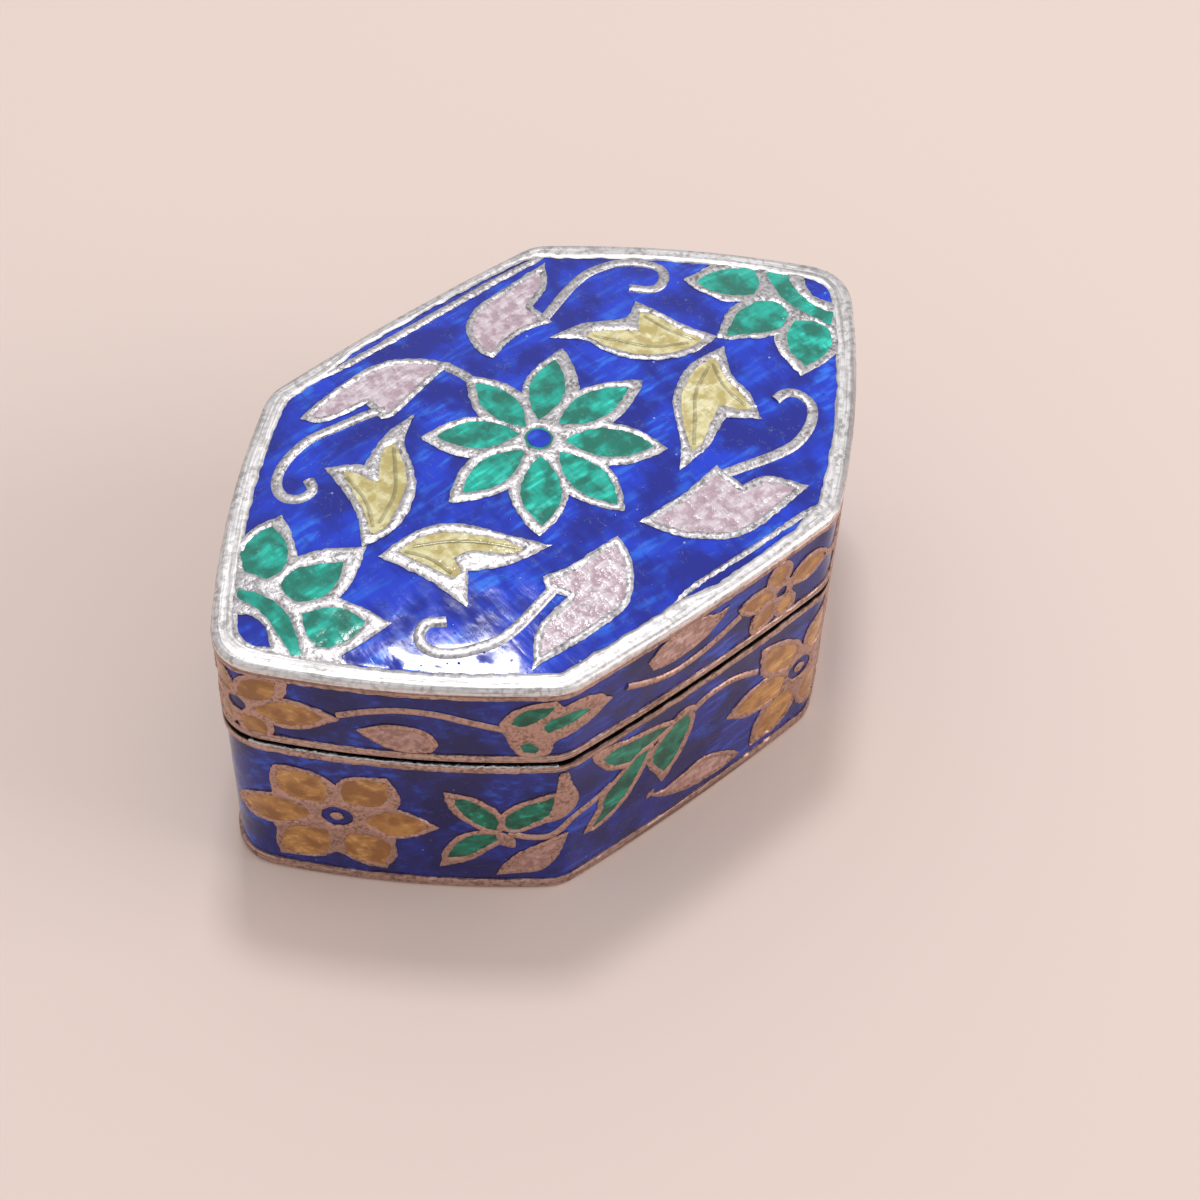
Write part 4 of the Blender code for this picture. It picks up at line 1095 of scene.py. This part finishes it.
# %% Draw the lines beside the rim and make the pieces of the top
BESIDE_RIM = [
    [(-7.5, 11.9), (-5.5, 11.45), (0, 11.35), (5, 11.35), (9, 11.3), (11, 11.6), (9, 11.75), (5, 11.8),
     (0, 11.8), (-5, 11.8)],
    [(-2.5, -11.9), (-0.5, -11.6), (4, -11.62), (8, -11.58), (10, -11.8), (8, -11.3), (4, -11.28),
     (0, -11.3)]]
for points in BESIDE_RIM:
    top_silver.append(silver_sheet([drawn(points)], [], on_top, TIP_LEVEL, UNDER_RIM))


def numbered(name, count):
    """The names of a row of like solids."""
    return [f"{name}_{k}" for k in range(1, count + 1)]


piece("lid_tracery", top_silver, SILVER_TOP)
piece("lid_green", top_green, EMERALD_TOP,
      numbered("flower_petal", 8) + numbered("corner_petal", 6) + numbered("corner_arc", 2))
piece("lid_yellow", top_yellow, YELLOW_TOP, numbered("yellow_leaf", 4))
piece("lid_pink", top_pink, PINK_TOP, numbered("pink_leaf", 4))

# %% [markdown]
# ## The drawing of the sides
#
# The sides are drawn unrolled, from the left tip to the right tip past the near corner. The
# distance around is measured from the left tip and the height downwards from the rim.
# The photograph shows two of these three sides. The other half of the box repeats the drawing
# turned about the middle, and the third side is filled in the same manner, but more plainly.

# %% Gather what a side is made of
SIDE_LEVEL = -0.005
# The side colours use the shaded copies of the enamels: darker and warmer, as painted shade and painted
# reflection.
SIDE_COLOURS = {"ochre": (YELLOW_SIDE_SHADED, "yellow_enamel"), "green": (EMERALD_SIDE_SHADED, "emerald_enamel"),
                "pink": (PINK_SIDE_SHADED, "pink_enamel")}


def new_side():
    """Empty lists for the silver and the colours of a side."""
    return {"silver": [], **{colour: [] for colour in SIDE_COLOURS}}


def side_loop(points):
    """A smooth outline on a side from a few points."""
    return leftward(smooth(points))


def side_motif(side, colour, silhouettes, cells, border, windows=()):
    """One island of a side: its outlines and cells, which all have one colour."""
    loops = [leftward(np.asarray(loop, float)) for loop in silhouettes]
    loops += [widened(cell, border) for cell in cells]
    side["silver"].append(silver_sheet(loops, [*cells, *windows], on_side, SIDE_LEVEL))
    side[colour] += [colour_sheet(cell, on_side) for cell in cells]


def side_leaves(side, outlines, inset, border):
    """Pink leaves whose cells are their silver outlines moved inwards."""
    for points in outlines:
        outline = side_loop(points)
        side_motif(side, "pink", [outline], [widened(outline, -inset)], border)


def side_dot(side, middle, radius):
    """A silver dot in the eye of a flower."""
    side["silver"].append(silver_sheet([disc(middle, radius)], [], on_side))


def side_pieces(name, side):
    """The pieces of a side, each with its copy on the other half of the box."""
    piece(name + "_tracery", turned_half(side["silver"]), SILVER_SIDE_SHADED)
    for colour, (material, slot) in SIDE_COLOURS.items():
        piece(f"{name}_{colour}", turned_half(side[colour]), material)


print("colours of a side:", list(SIDE_COLOURS))

# %% [markdown]
# Two six-petalled yellow flowers stand on the tray, in the darker side yellow, whose brownish orange is
# painted shade and a painted warm reflection. The silver of the first is one drawn outline, and that of the
# second is pieced together from leaves. Both have a dot in a blue eye, which is only a window onto the
# ground.

# %% Draw the flowers of the tray
SIDE_EYE, SIDE_DOT = 0.85, 0.36
FIRST_MIDDLE, SECOND_MIDDLE = (5.5, -12.3), (34.2, -12.3)
tray = new_side()
FIRST_FLOWER = [
    (2.1, -9.4), (2.3, -8.4), (3.2, -8.2), (4.4, -8.5), (5.3, -9.1), (5.6, -9.4), (5.9, -8.9), (7.0, -8.5),
    (8.3, -8.2), (8.8, -9.2), (9.0, -10.1), (8.7, -11.1), (9.6, -11.5), (10.9, -12.5), (10.0, -13.2),
    (8.7, -13.8), (8.5, -14.4), (8.6, -15.4), (8.0, -16.9), (6.8, -16.7), (5.9, -16.0), (5.3, -15.8),
    (4.6, -16.3), (3.2, -16.7), (2.2, -16.8), (2.0, -15.6), (2.1, -14.4), (1.9, -13.8), (0.9, -13.8),
    (0, -13.2), (-0.3, -12.9), (0.3, -11.9), (1.3, -11.2), (2.1, -11.0)]
FIRST_PETALS = [
    ((4.9, -11.1), (2.6, -8.7), 1.3), ((6.0, -10.9), (8.2, -8.7), 1.25), ((7.0, -12.4), (10.3, -12.5), 1.1),
    ((6.2, -13.7), (7.8, -16.4), 1.3), ((4.9, -13.8), (2.5, -16.4), 1.3), ((4.1, -12.4), (0.1, -12.6), 1.15)]
first_cells = [leaf(*petal) for petal in FIRST_PETALS]
side_motif(tray, "ochre", [side_loop(FIRST_FLOWER), disc(FIRST_MIDDLE, 1.6)], first_cells, 0.25,
           [disc(FIRST_MIDDLE, SIDE_EYE)])
side_dot(tray, FIRST_MIDDLE, SIDE_DOT)

second_cells = [side_loop(points) for points in (
    [(31.3, -8.4), (32.2, -8.8), (33.4, -9.6), (34.0, -10.6), (33.2, -11.4), (32.3, -11.0), (31.4, -10.2)],
    [(29.2, -12.1), (30.4, -11.4), (32.0, -11.4), (33.0, -12.2), (32.8, -13.6), (31.6, -13.4),
     (30.2, -13.0)],
    [(31.2, -16.4), (31.5, -14.8), (32.4, -13.8), (33.6, -13.7), (34.0, -15.0), (33.0, -16.3)])]
second_cells += [leaf((34.7, -10.9), (36.9, -8.7), 1.1), leaf((35.7, -12.4), (38.9, -12.5), 0.95),
                 leaf((34.9, -13.7), (36.5, -16.4), 1.15)]
second_tips = [leaf(SECOND_MIDDLE, tip, 1.3) for tip in (
    (30.9, -7.9), (28.6, -12.2), (30.8, -16.9), (37.4, -8.2), (39.6, -12.6), (36.9, -16.9))]
side_motif(tray, "ochre", second_tips + [disc(SECOND_MIDDLE, 1.7)], second_cells, 0.38,
           [disc(SECOND_MIDDLE, SIDE_EYE)])
side_dot(tray, SECOND_MIDDLE, SIDE_DOT)
print("tray flowers:", len(first_cells) + len(second_cells), "petals")

# %% [markdown]
# Between the flowers stand a spray and a sprig of three green leaves each, and a small silver
# calyx. The silver is pieced together from the widened cells and from thin leaves for the tips.

# %% Draw the green leaves of the tray
SPRAY_CELLS = [
    [(11.7, -9.6), (12.5, -9.8), (13.4, -10.6), (14.0, -11.6), (13.9, -12.5), (13.3, -12.3), (12.4, -11.4),
     (11.9, -10.4)],
    [(14.4, -12.2), (14.5, -11.2), (15.3, -10.3), (16.3, -9.8), (16.9, -9.4), (16.9, -10.2), (16.6, -11.2),
     (15.7, -12.0), (14.9, -12.4)],
    [(13.9, -12.9), (14.0, -13.5), (13.2, -14.3), (12.2, -15.1), (11.3, -15.3), (11.6, -14.4), (12.0, -13.6),
     (12.8, -13.0)]]
spray_cells = [side_loop(points) for points in SPRAY_CELLS]
spray_tips = [leaf((13.8, -12.4), (11.2, -9.1), 0.8), leaf((13.9, -12.8), (10.9, -16.2), 0.8),
              leaf((13.6, -12.6), (14.9, -14.2), 0.5)]
CALYX = [(17.7, -7.5), (17.9, -8.6), (18.4, -10.2), (18.1, -11.1), (17.3, -11.6), (16.2, -11.9),
         (16.9, -10.9), (17.0, -9.3), (17.2, -7.4)]
side_motif(tray, "green", spray_tips + [side_loop(CALYX)], spray_cells, 0.36)

SPRIG_CELLS = [
    [(19.9, -8.2), (20.6, -8.0), (22.0, -8.2), (23.6, -8.6), (24.5, -9.0), (23.4, -9.3), (22.3, -9.6),
     (21.7, -10.0), (20.8, -9.5), (20.2, -8.8)],
    [(23.0, -9.9), (22.6, -11.0), (22.0, -12.1), (21.2, -13.2), (20.2, -13.9), (19.4, -14.1), (20.0, -13.0),
     (20.1, -12.0), (20.8, -11.2), (21.6, -10.5), (22.3, -9.9)],
    [(25.0, -9.0), (25.7, -9.1), (25.8, -9.9), (25.4, -11.2), (24.8, -12.5), (24.2, -13.0), (23.7, -12.2),
     (23.3, -11.2), (23.7, -10.2), (24.3, -9.5)]]
sprig_cells = [side_loop(points) for points in SPRIG_CELLS]
sprig_tips = [leaf((22.6, -9.6), (19.1, -7.3), 0.9), leaf((22.2, -11.4), (18.8, -14.3), 0.7),
              leaf((24.5, -11.0), (24.1, -14.0), 0.6), leaf((24.4, -8.9), (26.3, -8.7), 0.5)]
side_motif(tray, "green", sprig_tips, sprig_cells, 0.38)
print("green leaves:", len(spray_cells) + len(sprig_cells))

# %% [markdown]
# Soft pink leaves lie near the foot. The third side, which the photograph doesn't show, gets a
# star of green leaves and one pink leaf.

# %% Draw the pink leaves and the third side of the tray
PINK_INSET = 0.38
THIRD_MIDDLE = (43.2, -12.4)
TRAY_PINK = [
    [(17.8, -13.1), (17.5, -14.2), (17.0, -15.6), (16.2, -16.5), (15.0, -16.7), (13.9, -16.9), (14.3, -15.8),
     (15.2, -14.6), (16.3, -13.8), (17.0, -13.3)],
    [(23.0, -14.1), (24.2, -14.9), (25.5, -14.7), (27.0, -14.4), (28.2, -14.9), (29.3, -15.8), (30.0, -16.6),
     (28.6, -16.9), (26.8, -16.7), (25.0, -16.0), (23.8, -15.2)]]
side_leaves(tray, TRAY_PINK, PINK_INSET, 0.3)
side_motif(tray, "pink", [], [leaf((46.4, -10.5), (50.6, -8.2), 0.8)], 0.42)
third_cells = star(THIRD_MIDDLE, 0.7, 3.3, 0.8, (0.45, 1.7, 2.7, 3.9, 5.2))
side_motif(tray, "green", [disc(THIRD_MIDDLE, 0.9)], third_cells, 0.4)
side_pieces("tray", tray)

# %% [markdown]
# The lid's side is narrow, so its flowers reach up to the borders above and below. One grows
# around the left tip, where the measure of distance passes through zero.

# %% Draw the flowers of the lid's side
TIP_MIDDLE, TIP_EYE = (0.7, -3.6), (0.7, -3.65)
LID_MIDDLE, LID_EYE = (31.8, -3.5), (31.8, -3.55)
LID_BORDER = 0.33
lid_side = new_side()
tip_cells = [leaf((1.7, -3.7), (5.3, -3.5), 0.95), leaf((0.8, -2.9), (3.0, -1.1), 0.8),
             leaf((1.0, -4.4), (2.2, -5.7), 0.7), leaf((-0.3, -3.7), (-3.8, -3.5), 0.95),
             leaf((0.4, -2.9), (-1.8, -1.1), 0.8), leaf((0.2, -4.4), (-1.0, -5.7), 0.7)]
tip_points = [leaf(TIP_MIDDLE, tip, 1.0) for tip in ((6.1, -3.4), (3.6, -0.9), (-4.6, -3.4), (-2.4, -0.9))]
side_motif(lid_side, "ochre", tip_points + [disc(TIP_MIDDLE, 1.2)], tip_cells, LID_BORDER,
           [disc(TIP_EYE, 0.55)])

LID_SPRIG = [(14.1, -3.1), (14.6, -2.0), (15.6, -1.3), (16.9, -1.0), (17.3, -1.6), (18.2, -1.5),
             (19.3, -1.9), (20.3, -3.0), (19.2, -3.7), (17.8, -4.1), (16.9, -4.4), (16.6, -5.4),
             (16.0, -5.75), (15.2, -5.7), (14.7, -5.0), (14.4, -4.0)]
lid_sprig_cells = [side_loop(points) for points in (
    [(14.7, -2.9), (15.0, -2.1), (15.9, -1.6), (16.8, -1.5), (16.5, -2.1), (15.8, -2.8), (15.2, -3.1)],
    [(16.3, -3.2), (16.6, -2.6), (17.6, -2.3), (18.3, -2.4), (18.9, -2.9), (18.0, -3.1), (17.0, -3.4),
     (16.5, -3.7)],
    [(15.1, -4.7), (15.6, -4.5), (16.1, -5.0), (15.9, -5.4), (15.3, -5.3)])]
side_motif(lid_side, "green", [side_loop(LID_SPRIG)], lid_sprig_cells, 0.2)
print("cells of the flower and the sprig:", len(tip_cells) + len(lid_sprig_cells))

# %% [markdown]
# Two pink leaves, a second flower and the plainer third side fill the rest of the lid's side.

# %% Fill the rest of the lid's side
LID_PINK_INSET = 0.34
LID_STAR_MIDDLE = (44.0, -3.3)
LID_PINK = [
    [(6.8, -4.1), (8.2, -3.55), (9.5, -3.45), (10.5, -3.9), (11.0, -4.8), (10.7, -5.6), (9.4, -5.7),
     (8.2, -5.3)],
    [(22.5, -2.0), (23.4, -1.2), (24.8, -0.85), (26.1, -0.95), (27.2, -1.5), (28.0, -1.5), (27.0, -2.5),
     (25.7, -3.05), (24.0, -3.15), (22.9, -2.9)]]
side_leaves(lid_side, LID_PINK, LID_PINK_INSET, 0.3)

lid_second = [leaf((31.2, -3.4), (28.9, -2.6), 0.6), leaf((31.6, -2.9), (31.4, -1.15), 0.65),
              leaf((32.5, -3.2), (34.9, -2.9), 0.7), leaf((31.2, -4.0), (30.0, -5.4), 0.6),
              leaf((32.2, -4.2), (32.1, -5.5), 0.5)]
side_motif(lid_side, "ochre", [disc(LID_MIDDLE, 0.9)], lid_second, LID_BORDER, [disc(LID_EYE, 0.4)])
lid_third = star(LID_STAR_MIDDLE, (0.6, 0.4), (3.0, 2.0), 0.6, (0.3, 1.5, 2.8, 4.1, 5.4))
side_motif(lid_side, "green", [disc(LID_STAR_MIDDLE, 0.7)], lid_third, LID_BORDER)
side_motif(lid_side, "pink", [], [leaf((37.0, -3.9), (40.6, -4.6), 0.6)], 0.36)
side_pieces("lid_side", lid_side)

# %% [markdown]
# ## Silver wires
#
# Tendrils and stems are single lines of silver. A curve with a bevel could make them, but its
# section would be even. Here a Geometry Nodes tree turns a path drawn flat into a slightly
# hammered wire: an oval section whose width wavers and which thins at both ends. The tree has
# named inputs, so one tree makes thick and thin wires.

# %% Open and close a Geometry Nodes tree
SHAPE, MATERIAL = "NodeSocketGeometry", "NodeSocketMaterial"


def new_tree(name, numbers):
    """A tree that takes a shape, named numbers and a material, and gives back a shape."""
    tree = bpy.data.node_groups.new(name, "GeometryNodeTree")
    tree.interface.new_socket("Geometry", in_out="INPUT", socket_type=SHAPE)
    for label, value in numbers.items():
        kind = "NodeSocketInt" if isinstance(value, int) else FLOAT
        tree.interface.new_socket(label, in_out="INPUT", socket_type=kind).default_value = value
    tree.interface.new_socket("Material", in_out="INPUT", socket_type=MATERIAL)
    tree.interface.new_socket("Geometry", in_out="OUTPUT", socket_type=SHAPE)
    given, result = tree.nodes.new("NodeGroupInput"), tree.nodes.new("NodeGroupOutput")
    return tree, given.outputs, result.inputs


def close_tree(tree, shape, given, result):
    """The last two steps of every tree: real geometry, with its material."""
    real = add(tree, "GeometryNodeRealizeInstances", i0=shape)
    final = add(tree, "GeometryNodeSetMaterial", Geometry=real.outputs[0], Material=given["Material"])
    tree.links.new(final.outputs[0], result[0])
    return tree


def named(tree, label):
    """The identifier of a modifier's input."""
    return next(item.identifier for item in tree.interface.items_tree if item.name == label)


def grown(flat_mesh, tree, values):
    """Runs a tree over a flat mesh and gives back the points and faces it made."""
    source = bpy.data.objects.new("source", flat_mesh)
    bpy.context.scene.collection.objects.link(source)
    modifier = source.modifiers.new("grow", "NODES")
    modifier.node_group = tree
    for label, value in values.items():
        modifier[named(tree, label)] = value
    mesh = bpy.data.meshes.new_from_object(source.evaluated_get(bpy.context.evaluated_depsgraph_get()))
    bpy.data.objects.remove(source)
    points = np.zeros(len(mesh.vertices) * 3)
    mesh.vertices.foreach_get("co", points)
    return points.reshape(-1, 3), [list(polygon.vertices) for polygon in mesh.polygons]


print("helpers for trees:", [call.__name__ for call in (new_tree, close_tree, named, grown)])

# %% [markdown]
# Each wire could be dented with a brush in Sculpt Mode, but noise does it for all of them. One
# noise wavers the radius along the path, and another dents the finished surface. The Seed moves
# both, so two wires on the same path can differ.

# %% Build the hammered wire
WAVER_SCALE, DENT_SCALE, END_SHARE, SECTION_STEPS = 1.6, 4.5, 0.35, 12


def noise_at(tree, seed, scale):
    """A noise over the wire, moved by a seed: its outputs."""
    place = tree.nodes.new("GeometryNodeInputPosition").outputs[0]
    return add(tree, "ShaderNodeTexNoise", {"noise_dimensions": "4D"}, Vector=place, W=seed,
               Scale=scale, Detail=2.0).outputs


def wire_tree():
    """Geometry Nodes: edges in, hammered wires out."""
    numbers = {"Width": 0.5, "Height": 0.26, "Spacing": 0.12, "Taper": 0.8, "Waver": 0.35,
               "Dents": 0.03, "Seed": 1.0}
    tree, given, result = new_tree("hammered_wire", numbers)
    curve = add(tree, "GeometryNodeMeshToCurve", i0=given["Geometry"])
    curve = add(tree, "GeometryNodeResampleCurve", {"mode": "LENGTH"}, Curve=curve.outputs[0],
                Length=given["Spacing"])
    curve = add(tree, "GeometryNodeSetCurveNormal", {"mode": "Z_UP"}, Curve=curve.outputs[0])
    walked = tree.nodes.new("GeometryNodeSplineParameter").outputs["Length"]
    whole = tree.nodes.new("GeometryNodeSplineLength").outputs["Length"]
    to_end = math_node(tree, "MINIMUM", walked, math_node(tree, "SUBTRACT", whole, walked))
    thick = add(tree, "ShaderNodeMapRange", i0=to_end, i1=0.0, i2=given["Taper"], i3=END_SHARE, i4=1.0)
    waver = math_node(tree, "SUBTRACT", noise_at(tree, given["Seed"], WAVER_SCALE)[0], 0.5)
    waver = math_node(tree, "MULTIPLY", waver, given["Waver"])
    radius = math_node(tree, "ADD", thick.outputs[0], waver)
    curve = add(tree, "GeometryNodeSetCurveRadius", Curve=curve.outputs[0], Radius=radius)
    circle = add(tree, "GeometryNodeCurvePrimitiveCircle", Resolution=SECTION_STEPS, Radius=0.5)
    section = add(tree, "ShaderNodeCombineXYZ", X=given["Width"], Y=given["Height"], Z=1.0)
    oval = add(tree, "GeometryNodeTransform", Geometry=circle.outputs[0], Scale=section.outputs[0])
    wire = add(tree, "GeometryNodeCurveToMesh", Curve=curve.outputs[0], Profile_Curve=oval.outputs[0],
               Fill_Caps=True)
    dents = noise_at(tree, given["Seed"], DENT_SCALE)[1]
    dents = add(tree, "ShaderNodeVectorMath", {"operation": "SUBTRACT"}, i0=dents, i1=(0.5, 0.5, 0.5))
    push = add(tree, "ShaderNodeVectorMath", {"operation": "SCALE"}, i0=dents.outputs[0],
               Scale=given["Dents"])
    moved = add(tree, "GeometryNodeSetPosition", Geometry=wire.outputs[0], Offset=push.outputs[0])
    return close_tree(tree, moved.outputs[0], given, result)


WIRE_TREE = wire_tree()
print(WIRE_TREE.name, "has", len(WIRE_TREE.nodes), "nodes")

# %% [markdown]
# The wire is made flat, because its noise and its section are simplest there. Then it is laid on
# the dome or around the side like everything else. The tendrils of the lid come first.

# %% Lay the tendrils
WIRE_LEVEL = -0.13


def wires(paths, place, material, level=WIRE_LEVEL, **values):
    """Hammered wires along flat paths, laid onto the box."""
    points, edges = [], []
    for path in paths:
        edges += [(len(points) + k, len(points) + k + 1) for k in range(len(path) - 1)]
        points += [(x, y, 0.0) for x, y in path]
    mesh = bpy.data.meshes.new("paths")
    mesh.from_pydata(points, edges, [])
    flat, polygons = grown(mesh, WIRE_TREE, {"Material": material, **values})
    return place(flat[:, :2], flat[:, 2] + level), polygons


TENDRILS = [
    [(-4.9, 7.7), (-5.6, 8), (-7.5, 8.3), (-9.3, 8.5), (-11, 8.1), (-12.2, 7.3), (-12.6, 6.3),
     (-12.1, 5.6), (-11.2, 5.6), (-10.9, 6.3)],
    [(-5.4, -7.1), (-9.2, -7.95), (-11, -7.6), (-12.3, -6.9), (-12.8, -6), (-12.6, -5.3), (-11.9, -4.9),
     (-11, -5.4)],
    [(5.6, 7.6), (9.5, 8.85), (11.5, 8.6), (12.7, 7.8), (13.4, 6.7), (13, 5.9), (12.1, 5.7), (11.1, 6.6)],
    [(6.0, -6.75), (10, -7.6), (11.8, -7.2), (13, -6.2), (13.1, -5.2), (12.6, -4.6), (11.8, -4.6)],
    [(0, 6.6), (-0.1, 7.2), (-0.4, 8.1)]]
tendril_paths = [smooth(from_view(points), False) for points in TENDRILS]
tendrils = wires(tendril_paths, on_top, SILVER_TOP, Width=0.6, Seed=2.0)
piece("lid_tendrils", [tendrils], SILVER_TOP)

# %% [markdown]
# The stems of the sides tie the flowers to the leaves in the same way.

# %% Lay the stems of the sides
TRAY_STEMS = [
    [(14.5, -12.8), (15.5, -13.2), (16.6, -13.2), (17.3, -12.7), (18.0, -12.0), (19.0, -11.7), (19.9, -11.4),
     (20.6, -11.0)],
    [(26.0, -9.0), (27.0, -8.6), (28.2, -8.6), (29.3, -8.9), (30.6, -9.6)],
    [(39.0, -11.9), (40.2, -12.6), (41.4, -12.7), (42.4, -12.4)],
    [(44.9, -14.9), (46.2, -15.0), (47.9, -14.2), (49.4, -13.8), (50.4, -14.3)]]
LID_STEMS = [
    [(6.0, -3.1), (7.5, -2.5), (9.2, -2.15), (11, -2.3), (12.5, -2.8), (14.3, -3.4)],
    [(21.2, -2.9), (22.5, -3.6), (24.0, -4.15), (25.6, -4.15), (27.2, -3.8), (28.8, -3.2)],
    [(34.9, -3.0), (36.0, -3.5), (37.1, -3.9)],
    [(40.8, -4.6), (41.8, -4.2), (42.8, -3.8), (43.5, -3.5)],
    [(46.9, -2.9), (48.0, -3.4), (48.8, -3.5)]]


def side_wires(name, paths, material, level=WIRE_LEVEL, **values):
    """A piece of wires on a side, with their copies on the other half of the box."""
    piece(name, turned_half([wires(paths, on_side, material, level, **values)]), material)


side_wires("tray_stems", [smooth(p, False) for p in TRAY_STEMS], SILVER_SIDE_SHADED, Width=0.46, Seed=5.0)
side_wires("lid_side_stems", [smooth(p, False) for p in LID_STEMS], SILVER_SIDE_SHADED, Width=0.44, Seed=6.0)

# %% [markdown]
# Fine engraved veins run from the foot of each yellow leaf into both lobes. They could be cut into the
# sheet. A thin dark wire that lies almost flush looks the same and leaves the sheet whole; its darker yellow
# is painted shade for the groove.

# %% Engrave the yellow leaves
VEIN_LEVEL = -0.085
VEINS = [
    [(-10.2, 1.7), (-9.5, 3.2), (-9.25, 5.2)], [(-9.8, 1.7), (-8.0, 2.8), (-6.9, 4.2), (-6.15, 5.3)],
    [(-9.9, -0.6), (-9.2, -1.8), (-8.95, -3.2)], [(-9.4, -0.6), (-7.6, -1.6), (-6.3, -2.8), (-5.4, -3.9)],
    [(11.3, 1.4), (10.7, 2.8), (10.35, 4.4)], [(10.9, 1.4), (9.2, 2.4), (8.1, 3.8), (7.2, 5.0)],
    [(10.9, -0.6), (10.3, -2.2), (10.25, -3.9)], [(10.6, -0.6), (8.8, -1.6), (7.6, -2.9), (6.3, -4.3)]]
vein_paths = [smooth(from_view(points), False) for points in VEINS]
veins = wires(vein_paths, on_top, VEIN_TOP, VEIN_LEVEL, Width=0.2, Height=0.1, Seed=9.0)
piece("lid_veins", [veins], VEIN_TOP)

# %% [markdown]
# Where lid and tray rub together, the tray's upper edge has a torn burr. It lies on the near end side and on
# the one opposite, in the pale silver of the top, which stands out on the darker side silver as a painted
# highlight for the glints there. The wire tree makes it too, with strong wavering.

# %% Raise the burr along the seam
BURR_START, BURR_END, BURR_STEP, BURR_DROP, BURR_LEVEL = 1.2, 17.4, 0.3, 0.05, -0.1
burr_along = np.arange(BURR_START, BURR_END, BURR_STEP)
burr_path = np.column_stack([burr_along, np.full(len(burr_along), TRAY_TOP - LID_TOP - BURR_DROP)])
# The burr's pale top silver is a painted highlight along the seam.
side_wires("tray_burr", [burr_path], SILVER_TOP, BURR_LEVEL, Width=0.14, Height=0.2, Dents=0.16,
           Waver=1.3, Spacing=0.07, Seed=4.0)

# %% [markdown]
# ## Burst bubbles in the enamel
#
# Enamel gives off gas as it melts. Some bubbles burst at the surface and leave tiny pits with
# glassy rims. A particle system could scatter them, but its particles are lost on export. A second
# tree scatters shallow glass beads over the blue ground, with a fixed seed.

# %% Scatter the bubbles
BEAD_SEGMENTS, BEAD_RINGS = 8, 4
SCATTER_INSET, SCATTER_SPACING = 1.4, 1.5


def bubble_tree():
    """Geometry Nodes: a flat sheet in, small flattened beads out."""
    numbers = {"Density": 0.5, "Smallest": 0.03, "Largest": 0.09, "Flatness": 0.5, "Seed": 0}
    tree, given, result = new_tree("glass_bubbles", numbers)
    spots = add(tree, "GeometryNodeDistributePointsOnFaces", Mesh=given["Geometry"],
                Density=given["Density"], Seed=given["Seed"])
    size = add(tree, "FunctionNodeRandomValue", {"data_type": "FLOAT"}, i2=given["Smallest"],
               i3=given["Largest"], Seed=given["Seed"]).outputs[1]
    thin = math_node(tree, "MULTIPLY", size, given["Flatness"])
    scale = add(tree, "ShaderNodeCombineXYZ", X=size, Y=size, Z=thin)
    bead = add(tree, "GeometryNodeMeshUVSphere", Segments=BEAD_SEGMENTS, Rings=BEAD_RINGS, Radius=1.0)
    beads = add(tree, "GeometryNodeInstanceOnPoints", Points=spots.outputs[0], Instance=bead.outputs[0],
                Scale=scale.outputs[0])
    return close_tree(tree, beads.outputs[0], given, result)


BUBBLE_TREE = bubble_tree()
bubble_flat, bubble_faces = filled([ring(SCATTER_INSET)[::6]], [], SCATTER_SPACING)
sheet = bpy.data.meshes.new("bubble_sheet")
sheet.from_pydata([(x, y, 0.0) for x, y in bubble_flat], [], bubble_faces.tolist())
beads, bead_faces = grown(sheet, BUBBLE_TREE, {"Density": 0.7, "Seed": 11, "Material": COBALT_TOP})
bubbles = (on_top(beads[:, :2], beads[:, 2] + GROUND_DEPTH), bead_faces)
piece("lid_bubbles", [bubbles], COBALT_TOP)

# %% [markdown]
# ## Floor and light
#
# The box stands on a plain pale floor. It is a stage and no part of the box, which the frame is
# told. Polished silver shows what is around it, so the floor's warm tone also warms the sides.

# %% Lay the floor
FLOOR_SIZE, FLOOR_COLOUR, FLOOR_ROUGHNESS = 4.0, (0.82, 0.68, 0.62, 1), 0.7
paper, _, paper_shader = principled("floor_paper")
paper_shader.inputs["Base Color"].default_value = FLOOR_COLOUR
paper_shader.inputs["Roughness"].default_value = FLOOR_ROUGHNESS
bpy.ops.mesh.primitive_plane_add(size=FLOOR_SIZE, location=(0, 0, 0))
floor = bpy.context.object
floor.name = "floor"
floor.data.materials.append(paper)
print("floor:", FLOOR_SIZE, "m square")

# %% [markdown]
# A small square lamp high above puts the glare on the silver. A broad one fills the sides, and
# the room's pale light does the rest. A Sun lamp would be simpler, but its reflection would be a
# small disc and not the patch of a window.

# %% Set the lights
AIM = (0, 0, 0.015)
ROOM_COLOUR, ROOM_STRENGTH = (1.0, 0.98, 0.97, 1), 0.62


def softbox(name, direction, distance, size, power, colour=(1, 1, 1)):
    """A square area light aimed at the box from a direction."""
    data = bpy.data.lights.new(name, "AREA")
    data.shape = "SQUARE"
    data.size = size
    data.energy = power
    data.color = colour
    light = bpy.data.objects.new(name, data)
    direction = Vector(direction).normalized()
    light.location = Vector(AIM) + direction * distance
    light.rotation_euler = direction.to_track_quat("Z", "Y").to_euler()
    bpy.context.scene.collection.objects.link(light)


softbox("window_light", (0.145, 0.225, 0.96), distance=0.32, size=0.045, power=0.3)
softbox("fill_light", (0.62, -0.68, 0.4), distance=0.5, size=0.3, power=0.9, colour=(1.0, 0.96, 0.93))
world = bpy.data.worlds.new("room")
world.use_nodes = True
world.node_tree.nodes["Background"].inputs["Color"].default_value = ROOM_COLOUR
world.node_tree.nodes["Background"].inputs["Strength"].default_value = ROOM_STRENGTH
bpy.context.scene.world = world
bpy.context.scene.view_settings.view_transform = "Standard"
print("lights:", [light.name for light in bpy.data.lights])
